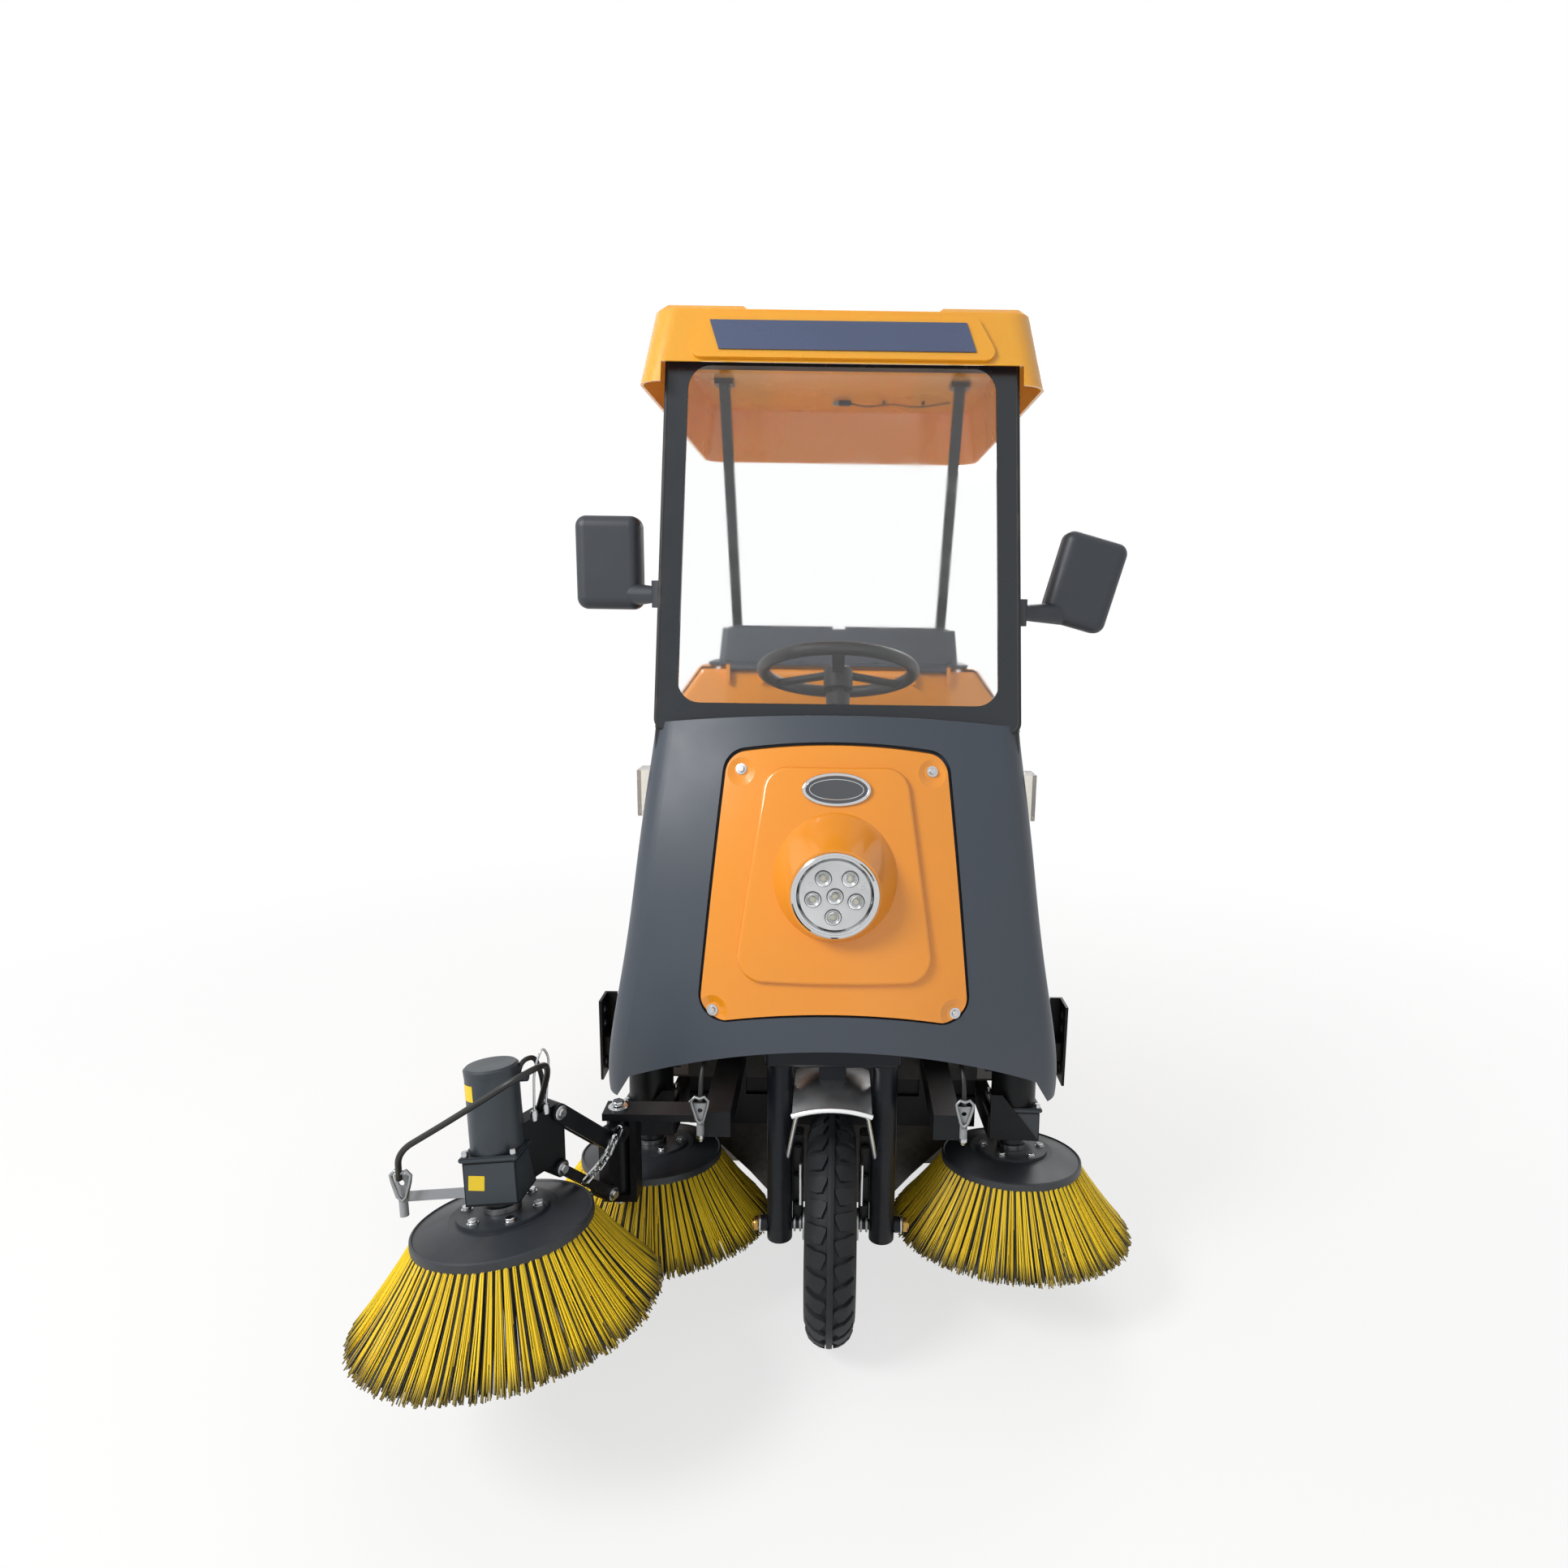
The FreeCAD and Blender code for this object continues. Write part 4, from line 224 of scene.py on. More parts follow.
def bristle_finish(name, colour, tip):
    """Polypropylene strands: UV x is a share that differs by strand, UV y runs root to tip."""
    finishes[name] = bpy.data.materials.new(name)
    tree = emptied(finishes[name])
    parts = add(tree, "ShaderNodeSeparateXYZ", Vector=add(tree, "ShaderNodeTexCoord").outputs["UV"])
    base = linear(colour)
    dark = [c * 0.72 for c in base[:3]] + [1]
    tint = mixed(tree, parts.outputs["X"], dark, base)
    tint = mixed(tree, ranged(tree, parts.outputs["Y"], 0.82, 1.0, 0.0, 0.85), tint, linear(tip))
    shader = add(tree, "ShaderNodeBsdfPrincipled", Base_Color=tint, Roughness=0.42, IOR=1.49)
    add(tree, "ShaderNodeOutputMaterial", Surface=shader.outputs[0])


def split_lens(name):
    """Ribbed acrylic of the signal lamps: clear at the front of the machine, red at its back."""
    finish(name, "#E9E4DA", 0.08, mottle=0.02, dust=0, transmission=0.85, ior=1.49)
    tree = finishes[name].node_tree
    shader = next(n for n in tree.nodes if n.type == "BSDF_PRINCIPLED")
    coord = add(tree, "ShaderNodeTexCoord").outputs["Object"]
    along = add(tree, "ShaderNodeSeparateXYZ", Vector=coord).outputs["Y"]
    back = maths(tree, "GREATER_THAN", along, LENS_BACK)
    tint = mixed(tree, back, linear("#EDE8DE"), linear("#B01818"))
    tree.links.new(tint, shader.inputs["Base Color"])
    ribs = add(tree, "ShaderNodeTexWave", {"bands_direction": "Z"}, Vector=coord,
               Scale=1000 / LENS_RIB / 2 / math.pi)
    relief = add(tree, "ShaderNodeBump", Height=ribs.outputs["Fac"], Distance=0.0006, Strength=0.6)
    tree.links.new(relief.outputs[0], shader.inputs["Normal"])


def make_finishes():
    """Every finish, named for its real material."""
    # glossy pigmented polyethylene or lacquered GRP of the roof, hood and front panel
    finish("orange_gelcoat", look().shell_colour, 0.22, mottle=0.03, mottle_size=300, coat=0.6, dust=0.4)
    # the same on the roof, a little yellower and thin enough to glow from above
    finish("yellow_gelcoat", "#E3A01F", 0.26, mottle=0.03, mottle_size=300, coat=0.35, dust=0, glow=0.55)
    # grained grey ABS of the cowl and the rear lid
    finish("grey_abs", look().cowl_colour, 0.46, grain=1.6, bump=0.10, mottle=0.05, mottle_size=160)
    # black powder coat on the frame, arms and links, dusty and a little scuffed
    finish("black_powder_coat", "#0D1015", 0.42, grain=1.0, bump=0.06, dust=0.25, ior=1.3)
    # blue-black enamel on the fork
    finish("fork_enamel", "#0C111A", 0.34, mottle=0.08, dust=0.25, ior=1.32)
    finish("tyre_rubber", "#171B20", 0.62, grain=2.2, bump=0.12, mottle=0.15, mottle_size=40,
           soil="#5A564E", soil_share=0.05, dust=0.15, ior=1.35)
    # zinc-plated pressed steel of hubs, rims and the brushes' collars
    finish("zinc_steel", "#A7A9AB", 0.34, metal=1.0, grain=3, bump=0.03, mottle=0.1, dust=0.8)
    # polished stainless steel of the mudguard and stays
    finish("stainless", "#F0F1F2", 0.38, metal=1.0, mottle=0.05, dust=0)
    # bright plated steel of bolts and washers
    finish("bright_zinc", "#C4C6C8", 0.26, metal=1.0, mottle=0.08, dust=0.4)
    # brass of the axle nuts
    finish("brass", "#B8904A", 0.28, metal=1.0, mottle=0.1, dust=0.4)
    # lamp reflector, vacuum-metallised plastic, and the satin plate around its cups
    finish("lamp_reflector", "#D0D2D4", 0.10, metal=1.0, mottle=0.04, dust=0)
    finish("lamp_plate", "#E4E6E7", 0.36, metal=0.3, mottle=0.04, dust=0)
    # lamp housing and bezel, chromed plastic
    finish("chromed_plastic", "#C9CBCD", 0.09, metal=1.0, mottle=0.03, dust=0)
    # LED chips under small domes, unlit
    finish("led_dome", "#E9E6D2", 0.15, mottle=0.02, dust=0, coat=0.6)
    # clear polycarbonate lens
    finish("clear_lens", "#FFFFFF", 0.02, mottle=0.0, dust=0, transmission=1.0, ior=1.3)
    finish("amber_lens", "#E58A1E", 0.10, mottle=0.05, dust=0, transmission=0.45, ior=1.58)
    finish("red_lens", "#B21616", 0.12, mottle=0.05, dust=0, transmission=0.35, ior=1.58)
    # clear tinted laminated glass
    finish("laminated_glass", "#FDFEFE", 0.02, mottle=0.0, dust=0, transmission=1.0, ior=1.45)
    # black ceramic frit on the glass edge
    finish("ceramic_frit", "#1B2026", 0.24, mottle=0.04, dust=0)
    # black anodised or coated cab profile
    finish("black_profile", "#171A1F", 0.34, grain=1.2, bump=0.03, dust=0.3)
    # blue-grey acrylic of the blank roof plate
    finish("sign_acrylic", "#46506C", 0.25, mottle=0.08, mottle_size=120, dust=0)
    # stove-enamelled dark grey of the blank badge
    finish("badge_enamel", "#3A3D42", 0.22, mottle=0.05, coat=0.6, dust=0)
    # mirror housing, grained black nylon
    finish("black_nylon", "#2B2F36", 0.48, grain=1.3, bump=0.08, dust=0)
    finish("silvered_glass", "#E8ECEE", 0.02, metal=1.0, mottle=0.0, dust=0)
    # ribbed black rubber mat and pedal pads
    finish("mat_rubber", "#202124", 0.7, grain=2.0, bump=0.1, soil_share=0.3, dust=1.0)
    finish("interior_abs", "#1E1F22", 0.55, grain=1.4, bump=0.10, dust=0.3)
    # soft-touch grip of the hand wheel
    finish("soft_grip", "#1A1A1C", 0.5, grain=1.0, bump=0.08, dust=0)
    # black vinyl seat cover
    finish("seat_vinyl", "#1B1C1F", 0.5, grain=1.8, bump=0.16, mottle=0.08, dust=0, sheen=0.05)
    # dark grey thread of the seams
    finish("seam_thread", "#3C3D42", 0.7, dust=0)
    # battery box
    finish("box_plastic", "#24262B", 0.5, grain=1.4, bump=0.08, dust=0.6)
    # grey painted steel bin, streaked inside
    finish("bin_paint", "#6B6E70", 0.5, grain=2.5, bump=0.06, soil="#5B4A38", soil_share=0.5, dust=1.0)
    # slate polypropylene of the brush discs
    finish("slate_polypropylene", "#20262E", 0.46, grain=2.0, bump=0.08, soil=ROAD_DUST, soil_share=0.06,
           dust=0.4)
    # die-cast aluminium of the wheel's collars and the nozzles' loops
    finish("cast_aluminium", "#9EA1A3", 0.42, metal=1.0, grain=2.2, bump=0.10, soil="#57524A",
           soil_share=0.2, dust=0.6)
    finish("motor_enamel", "#2C343B", 0.40, grain=1.5, bump=0.05, dust=0.3)
    # yellow label left blank
    finish("blank_label", "#E3C21C", 0.4, mottle=0.05, dust=0.3)
    # rubber skirts, apron and hoses
    finish("skirt_rubber", "#17181A", 0.62, grain=2.0, bump=0.08, soil_share=0.3, dust=1.2)
    finish("hose_rubber", "#121315", 0.45, grain=1.2, bump=0.04, dust=0.2)
    # grey polyamide of the nozzle brackets
    finish("grey_polyamide", "#8D9093", 0.45, grain=1.5, bump=0.05, dust=0.5)
    finish("white_plate", "#D9DADB", 0.4, mottle=0.03, dust=0.3)
    split_lens("signal_lens")
    bristle_finish("yellow_bristle", "#FFDA24", "#3E3826")
    bristle_finish("black_bristle", "#1C1C1C", "#3A362E")


# Mesh building

SHARP = math.radians(30)         # edges sharper than this are bevelled
KEPT_SHARP = math.radians(38)    # and, once finished, shaded as edges


def towards(origin, direction, spin=0.0):
    """Matrix that stands a z-up shape at origin along direction."""
    turn = Vector(direction).to_track_quat("Z", "Y").to_matrix().to_4x4()
    return Matrix.Translation(Vector(origin)) @ turn @ Matrix.Rotation(spin, 4, "Z")


def turned(degrees, axis):
    """Matrix that turns about the x, y or z axis."""
    return Matrix.Rotation(math.radians(degrees), 4, axis)


def rounded(points, radius, steps=6):
    """Path through points with each corner turned into an arc."""
    points = [Vector(p) for p in points]
    path = [points[0]]
    for before, corner, after in zip(points, points[1:], points[2:]):
        a, b = before - corner, after - corner
        reach = min(radius, a.length * 0.45, b.length * 0.45)
        start, end = corner + a.normalized() * reach, corner + b.normalized() * reach
        for i in range(steps + 1):
            t = i / steps
            path.append(start * (1 - t) ** 2 + corner * 2 * t * (1 - t) + end * t ** 2)
    return path + [points[-1]]


def ellipse(half_x, half_y, count=56):
    """Points of an ellipse about the origin."""
    return [(half_x * math.cos(2 * math.pi * i / count), half_y * math.sin(2 * math.pi * i / count))
            for i in range(count)]


class Piece:
    """A mesh under construction in frame metres, with a finish for each group of its faces."""

    def __init__(self, name):
        self.name = name
        self.mesh = bmesh.new()
        self.used = []

    def paint(self, faces, finish_name):
        """Gives faces a finish."""
        if finish_name not in self.used:
            self.used.append(finish_name)
        for face in faces:
            face.material_index = self.used.index(finish_name)

    def _close(self, verts, finish_name, bevel, segments=2):
        """Paints the faces around some vertices and bevels their sharp edges."""
        faces = dict.fromkeys(f for v in verts for f in v.link_faces)
        self.paint(faces, finish_name)
        if bevel:
            edges = [e for e in dict.fromkeys(e for f in faces for e in f.edges)
                     if len(e.link_faces) == 2 and e.calc_face_angle(0) > SHARP]
            result = bmesh.ops.bevel(self.mesh, geom=edges, offset=bevel, segments=segments,
                                     affect="EDGES", clamp_overlap=True)
            self.paint(result["faces"], finish_name)

    def ring(self, points, matrix, z):
        """Vertices at (x, y) points on one level of a matrix."""
        return [self.mesh.verts.new(matrix @ Vector((x, y, z))) for x, y in points]

    def skin(self, finish_name, rings, closed=False):
        """Faces between rings of as many vertices, with end caps unless the last ring meets the first."""
        faces = []
        for low, high in list(zip(rings, rings[1:])) + ([(rings[-1], rings[0])] if closed else []):
            faces += [self.mesh.faces.new(loop)
                      for loop in zip(low, low[1:] + low[:1], high[1:] + high[:1], high)]
        if not closed:
            faces += [self.mesh.faces.new(rings[0][::-1]), self.mesh.faces.new(rings[-1])]
        self.paint(faces, finish_name)

    def box(self, finish_name, place, size, bevel=0.0):
        """Block about a point, or about a matrix's origin and turned like it."""
        matrix = place if isinstance(place, Matrix) else Matrix.Translation(place)
        made = bmesh.ops.create_cube(self.mesh, size=1, matrix=matrix @ Matrix.Diagonal((*size, 1)))["verts"]
        self._close(made, finish_name, bevel)

    def rod(self, finish_name, start, end, radius, sides=28, bevel=0.0):
        """Round bar between two points."""
        start, end = Vector(start), Vector(end)
        matrix = towards((start + end) / 2, end - start)
        made = bmesh.ops.create_cone(self.mesh, cap_ends=True, segments=sides, radius1=radius, radius2=radius,
                                     depth=(end - start).length, matrix=matrix)["verts"]
        self._close(made, finish_name, bevel)

    def lathe(self, finish_name, profile, matrix, sides=48):
        """Profile of (radius, z) turned about z, then placed; closed where it meets the axis."""
        rings = [self.ring(ellipse(radius, radius, sides) if radius > 0 else [(0, 0)], matrix, z)
                 for radius, z in profile]
        faces = []
        for low, high in zip(rings, rings[1:]):
            for i in range(sides):
                j = (i + 1) % sides
                loop = [low[i % len(low)], low[j % len(low)], high[j % len(high)], high[i % len(high)]]
                loop = list(dict.fromkeys(loop))
                if len(loop) > 2:
                    faces.append(self.mesh.faces.new(loop))
        self.paint(faces, finish_name)

    def sweep(self, finish_name, path, radius, sides=12, closed=False):
        """Round section carried along a path."""
        path = [Vector(p) for p in path]
        count = len(path)
        tangents = []
        for i in range(count):
            a = path[(i - 1) % count if closed else max(0, i - 1)]
            b = path[(i + 1) % count if closed else min(count - 1, i + 1)]
            tangents.append((b - a).normalized())
        side = tangents[0].orthogonal().normalized()
        rings = []
        for point, tangent in zip(path, tangents):
            side = (side - tangent * side.dot(tangent)).normalized()
            up = tangent.cross(side)
            rings.append([self.mesh.verts.new(point + side * x * radius + up * y * radius)
                          for x, y in ellipse(1, 1, sides)])
        self.skin(finish_name, rings, closed)

    def plate(self, finish_name, outline, matrix, thick, bevel=0.0, hole=None):
        """Flat outline of (x, y) points, with an optional hole of as many points, made thick along z."""
        top, low = self.ring(outline, matrix, thick), self.ring(outline, matrix, 0)
        count = len(outline)
        if hole:
            hole_top, hole_low = self.ring(hole, matrix, thick), self.ring(hole, matrix, 0)
            loops = []
            for i in range(count):
                j = (i + 1) % count
                loops += [(top[i], top[j], hole_top[j], hole_top[i]),
                          (low[j], low[i], hole_low[i], hole_low[j]),
                          (hole_top[i], hole_top[j], hole_low[j], hole_low[i])]
        else:
            loops = [top, low[::-1]]
        for i in range(count):
            j = (i + 1) % count
            loops.append((low[i], low[j], top[j], top[i]))
        self.paint([self.mesh.faces.new(loop) for loop in loops], finish_name)
        if bevel:
            self._close(top + low, finish_name, bevel)

    def bolt(self, point, direction, size=0.008, finish_name="bright_zinc", washer=True):
        """Hexagon head with a chamfer on a washer; size is the thread's diameter."""
        base = towards(point, direction)
        if washer:
            self.lathe(finish_name, [(0, 0), (size * 1.05, 0), (size * 1.05, size * 0.16),
                                     (size * 0.5, size * 0.18), (0, size * 0.18)], base, 24)
        head = base @ Matrix.Translation((0, 0, size * 0.45))
        made = bmesh.ops.create_cone(self.mesh, cap_ends=True, segments=6, radius1=size * 0.9,
                                     radius2=size * 0.9, depth=size * 0.6, matrix=head)["verts"]
        self._close(made, finish_name, size * 0.07, 1)

    def done(self, body):
        """Writes the mesh, gives it its finishes and makes it ride on a CAD body."""
        bmesh.ops.recalc_face_normals(self.mesh, faces=self.mesh.faces)
        data = bpy.data.meshes.new(self.name)
        self.mesh.to_mesh(data)
        self.mesh.free()
        for name in self.used:
            data.materials.append(finishes[name])
        return settle(placed(self.name, data), body)


def settle(piece, body):
    """Smooth faces with sharp edges kept, then the ride, unless it bends between two, and the slot."""
    piece.data.shade_smooth()
    piece.data.set_sharp_from_angle(angle=KEPT_SHARP)
    if body:
        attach(piece, body)
    return piece


def oval(half_x, half_y, radius, steps=6):
    """Outline of a rectangle with round corners about the origin."""
    points = []
    for k, (sx, sy) in enumerate(((1, 1), (-1, 1), (-1, -1), (1, -1))):
        for i in range(steps + 1):
            a = math.pi / 2 * (k + i / steps)
            points.append((sx * (half_x - radius) + radius * math.cos(a),
                           sy * (half_y - radius) + radius * math.sin(a)))
    return points


# Geometry Nodes

def group(name, inputs):
    """A node group with a geometry output and named inputs."""
    tree = bpy.data.node_groups.new(name, "GeometryNodeTree")
    for label, kind, value in inputs:
        socket = tree.interface.new_socket(label, in_out="INPUT", socket_type=kind)
        if value is not None:
            socket.default_value = value
    tree.interface.new_socket("Geometry", in_out="OUTPUT", socket_type="NodeSocketGeometry")
    return tree, add(tree, "NodeGroupInput")


def copied(tree, points, shape, turn, paint, **scale):
    """Ends a node group: a shape on each point, turned, made real and painted."""
    turn = add(tree, "FunctionNodeEulerToRotation", Euler=turn.outputs[0])
    spread = add(tree, "GeometryNodeInstanceOnPoints", Points=points.outputs[0], Instance=shape,
                 Rotation=turn.outputs[0], **scale)
    real = add(tree, "GeometryNodeRealizeInstances", Geometry=spread.outputs[0])
    painted = add(tree, "GeometryNodeSetMaterial", Geometry=real.outputs[0], Material=paint)
    add(tree, "NodeGroupOutput", Geometry=painted.outputs[0])
    return tree


def grown(name, tree, values, source=None):
    """Runs a node group once and returns its mesh as a new object, with no modifier left."""
    holder = placed("holder", source.data if source else bpy.data.meshes.new("holder"))
    modifier = holder.modifiers.new("nodes", "NODES")
    modifier.node_group = tree
    for item in tree.interface.items_tree:
        if item.in_out == "INPUT" and item.name in values:
            modifier[item.identifier] = values[item.name]
    data = evaluated(holder)
    bpy.data.objects.remove(holder)
    data.name = name
    return placed(name, data)


def strand_group():
    """Tufts of bent strands set around a ring, or along a helix, each fanned out from its tuft."""
    f, i = "NodeSocketFloat", "NodeSocketInt"
    tree, given = group("bristle_tufts", [
        ("Tufts", i, 56), ("Strands in tuft", i, 24), ("Turns", f, 1.0), ("Rise", f, 0.0),
        ("Root radius", f, 0.14), ("Tuft radius", f, 0.008), ("Lean", f, 0.6), ("Fan", f, 0.12),
        ("Length", f, 0.17), ("Length spread", f, 0.06), ("Droop", f, 0.02),
        ("Strand radius", f, 0.0012), ("Seed", i, 1), ("Material", "NodeSocketMaterial", None)])
    g = given.outputs

    def calc(operation, a, b=0.0):
        return maths(tree, operation, a, b)

    def chance(low, high, shift):
        seed = calc("ADD", g["Seed"], shift)
        return add(tree, "FunctionNodeRandomValue", i2=low, i3=high, i8=seed).outputs[1]

    along = add(tree, "GeometryNodeSplineParameter").outputs["Factor"]
    end = add(tree, "ShaderNodeCombineXYZ", Z=calc("MULTIPLY", g["Length"], -1.0))
    line = add(tree, "GeometryNodeCurvePrimitiveLine", Start=(0, 0, 0), End=end.outputs[0])
    line = add(tree, "GeometryNodeResampleCurve", Curve=line.outputs[0], Count=5)
    bend = calc("MULTIPLY", calc("MULTIPLY", along, along), g["Droop"])
    line = add(tree, "GeometryNodeSetPosition", Geometry=line.outputs[0],
               Offset=add(tree, "ShaderNodeCombineXYZ", X=bend).outputs[0])
    section = add(tree, "GeometryNodeCurvePrimitiveCircle", Resolution=3, Radius=g["Strand radius"])
    strand = add(tree, "GeometryNodeCurveToMesh", Curve=line.outputs[0], Profile_Curve=section.outputs[0])
    index = add(tree, "GeometryNodeInputIndex").outputs[0]
    tuft = calc("FLOOR", calc("DIVIDE", calc("ADD", index, 0.5), g["Strands in tuft"]))
    share = calc("DIVIDE", tuft, g["Tufts"])
    across, out = chance(-1.0, 1.0, 11), chance(-1.0, 1.0, 23)
    sideways = calc("DIVIDE", calc("MULTIPLY", across, g["Tuft radius"]), g["Root radius"])
    angle = calc("ADD", calc("MULTIPLY", calc("MULTIPLY", share, g["Turns"]), 2 * math.pi), sideways)
    radius = calc("ADD", g["Root radius"], calc("MULTIPLY", out, g["Tuft radius"]))
    place = add(tree, "ShaderNodeCombineXYZ", X=calc("MULTIPLY", radius, calc("COSINE", angle)),
                Y=calc("MULTIPLY", radius, calc("SINE", angle)), Z=calc("MULTIPLY", share, g["Rise"]))
    points = add(tree, "GeometryNodePoints", Count=calc("MULTIPLY", g["Tufts"], g["Strands in tuft"]))
    points = add(tree, "GeometryNodeSetPosition", Geometry=points.outputs[0], Position=place.outputs[0])
    lean = calc("ADD", g["Lean"], calc("MULTIPLY", calc("ADD", out, chance(-0.35, 0.35, 31)), g["Fan"]))
    fan = calc("MULTIPLY", calc("ADD", across, chance(-0.35, 0.35, 43)), g["Fan"])
    turn = add(tree, "ShaderNodeCombineXYZ", X=fan, Y=calc("MULTIPLY", lean, -1.0), Z=angle)
    stretch = calc("ADD", 1.0, calc("MULTIPLY", g["Length spread"], chance(-1.0, 1.0, 57)))
    scale = add(tree, "ShaderNodeCombineXYZ", X=1.0, Y=1.0, Z=stretch)
    return copied(tree, points, strand.outputs[0], turn, g["Material"], Scale=scale.outputs[0])


def around_group():
    """Copies of the source mesh turned about the x axis through the origin."""
    tree, given = group("around_axle", [
        ("Geometry", "NodeSocketGeometry", None), ("Count", "NodeSocketInt", 40),
        ("Material", "NodeSocketMaterial", None)])
    g = given.outputs
    points = add(tree, "GeometryNodePoints", Count=g["Count"])
    index = add(tree, "GeometryNodeInputIndex").outputs[0]
    angle = maths(tree, "MULTIPLY", index, maths(tree, "DIVIDE", 2 * math.pi, g["Count"]))
    turn = add(tree, "ShaderNodeCombineXYZ", X=angle)
    return copied(tree, points, g["Geometry"], turn, g["Material"])


def strands(name, tree, matrix, finish_name, **values):
    """One ring or roll of bristles, placed by matrix, with root-to-tip UVs."""
    settings = {key.replace("_", " "): value for key, value in values.items()}
    settings["Material"] = finishes[finish_name]
    piece = grown(name, tree, settings)
    rows, sides = 5, 3
    data = piece.data
    corners = [0] * len(data.loops)
    data.loops.foreach_get("vertex_index", corners)
    layer = data.uv_layers.new(name="UVMap")
    shades = random.Random(values["Seed"])
    shade = [shades.random() for _ in range(len(data.vertices) // (rows * sides))]
    flat = []
    for vertex in corners:
        strand, part = divmod(vertex, rows * sides)
        flat += (shade[strand], part // sides / (rows - 1))
    layer.data.foreach_set("uv", flat)
    data.transform(matrix)
    data.shade_smooth()
    return piece


def merged(name, pieces):
    """Joins meshes into the first one, under one name, keeping their finishes and UVs."""
    bpy.ops.object.select_all(action="DESELECT")
    for other in pieces:
        other.select_set(True)
    bpy.context.view_layer.objects.active = pieces[0]
    bpy.ops.object.join()
    pieces[0].name = name
    pieces[0].data.name = name
    pieces[0].select_set(False)
    return pieces[0]


# Measured places, in mm of the CAD source

BRUSHES = {
    "side_brush_left": ((380, 140, 275), (0.01728, 0.13917, 0.99012), "brush_bristles_left", 3),
    "side_brush_right": ((-380, 140, 275), (-0.01728, 0.13917, 0.99012), "brush_bristles_right", 5),
    "boom_brush": ((-540, -288, 404), (-0.08631, 0.13917, 0.98650), "boom_bristles", 7),
}
# Each ring of tufts: finish, turn, tufts, strands in one (0: as set in the panel), radius at the roots,
# radius of a tuft, lean and fan in radians, length, and how far its seed lies from the brush's
RINGS = (
    ("yellow", "yellow_bristle", 0.0, 78, 0, 0.1405, 0.0028, 0.585, 0.019, 0.166, 0),
    ("black", "black_bristle", math.pi / 78, 78, 14, 0.1378, 0.0030, 0.580, 0.028, 0.165, 20),
    # the behind ring: dense black strands just inside the yellow tufts, painted shade that darkens every gap
    # between them
    ("behind", "black_bristle", 0.0, 150, 6, 0.1305, 0.0045, 0.545, 0.035, 0.162, 60),
    ("inner", "yellow_bristle", 0.0, 44, 9, 0.112, 0.005, 0.45, 0.10, 0.150, 40),
)


def make_bristles():
    """Yellow tufts around each disc with black ones between and inside them, and the main roller."""
    tree = strand_group()
    thick = look().strand_radius
    for body, (centre, axis, node, seed) in BRUSHES.items():
        matrix = towards(at(*centre), axis)
        common = dict(Turns=1.0, Rise=0.0, Length_spread=0.05, Droop=0.012, Strand_radius=thick)
        rings = []
        for name, colour, turn, tufts, count, root, tuft, lean, fan, long, later in RINGS:
            rings.append(strands(name, tree, matrix @ Matrix.Rotation(turn, 4, "Z"), colour, Tufts=tufts,
                                 Strands_in_tuft=count or look().tuft_strands, Root_radius=root,
                                 Tuft_radius=tuft, Lean=lean, Fan=fan, Length=long, Seed=seed + later,
                                 **common))
        piece = merged(body + "_strands", rings)
        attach(piece, body)
        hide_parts(node)
    matrix = towards(at(-298, 700, 150), (1, 0, 0))
    roll = strands("roller_strands", tree, matrix, "black_bristle", Tufts=660, Strands_in_tuft=5, Turns=33.0,
                   Rise=0.596, Root_radius=0.058, Tuft_radius=0.006, Lean=math.pi / 2, Fan=0.10,
                   Length=0.070, Length_spread=0.04, Droop=0.006, Strand_radius=thick, Seed=90)
    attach(roll, "main_brush")
    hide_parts("main_brush_bristles")


TYRE_RADIUS, TYRE_HALF, TYRE_DROP, GROOVE = 215.0, 48.0, 32.0, 6.5    # crown, half width, shoulder, depth
TYRES = {
    "front_wheel": ("front_tyre", (0, 0, 215)),
    "rear_wheel_left": ("rear_tyre_left", (400, 1150, 215)),
    "rear_wheel_right": ("rear_tyre_right", (-400, 1150, 215)),
}
# A tread block from the rib to the shoulder: share of the half width, and where it begins and ends in steps
BLOCK = ((0.17, 0.16, 0.30), (0.36, -0.30, 0.38), (0.58, -0.28, 0.40), (0.80, -0.14, 0.50),
         (0.97, -0.02, 0.54))
FLANK_FROM, FLANK_DEEP = 172, 14    # radius from which the carcass is drawn in, and over how much it grows
STAGGER, FLARE = 0.25, 0.04         # shift of the two sides' blocks, and spread at a block's foot, in steps
FOOT = -GROOVE - 1                  # the blocks' feet lie a little inside the carcass
RIB = ((-0.15, FOOT), (-0.12, -0.4), (0, 0), (0.12, -0.4), (0.15, FOOT))


def carcass(node, centre, crown):
    """The CAD tyre's mesh with its crown drawn in by the groove's depth."""
    data = frame["nodes"][node].data.copy()
    data.transform(frame["nodes"][node].matrix_world)
    middle = at(*centre)
    ring = (TYRE_RADIUS - crown) / 1000
    for vert in data.vertices:
        local = vert.co - middle
        radius = math.hypot(local.y, local.z)
        section = Vector((local.x, radius - ring))
        share = min(1, max(0, (radius * 1000 - FLANK_FROM) / FLANK_DEEP))
        section -= section.normalized() * GROOVE / 1000 * share
        grown_by = (section.y + ring) / radius
        vert.co = middle + Vector((section.x, local.y * grown_by, local.z * grown_by))
    data.materials.clear()
    data.materials.append(finishes["tyre_rubber"])
    return placed("carcass", data)


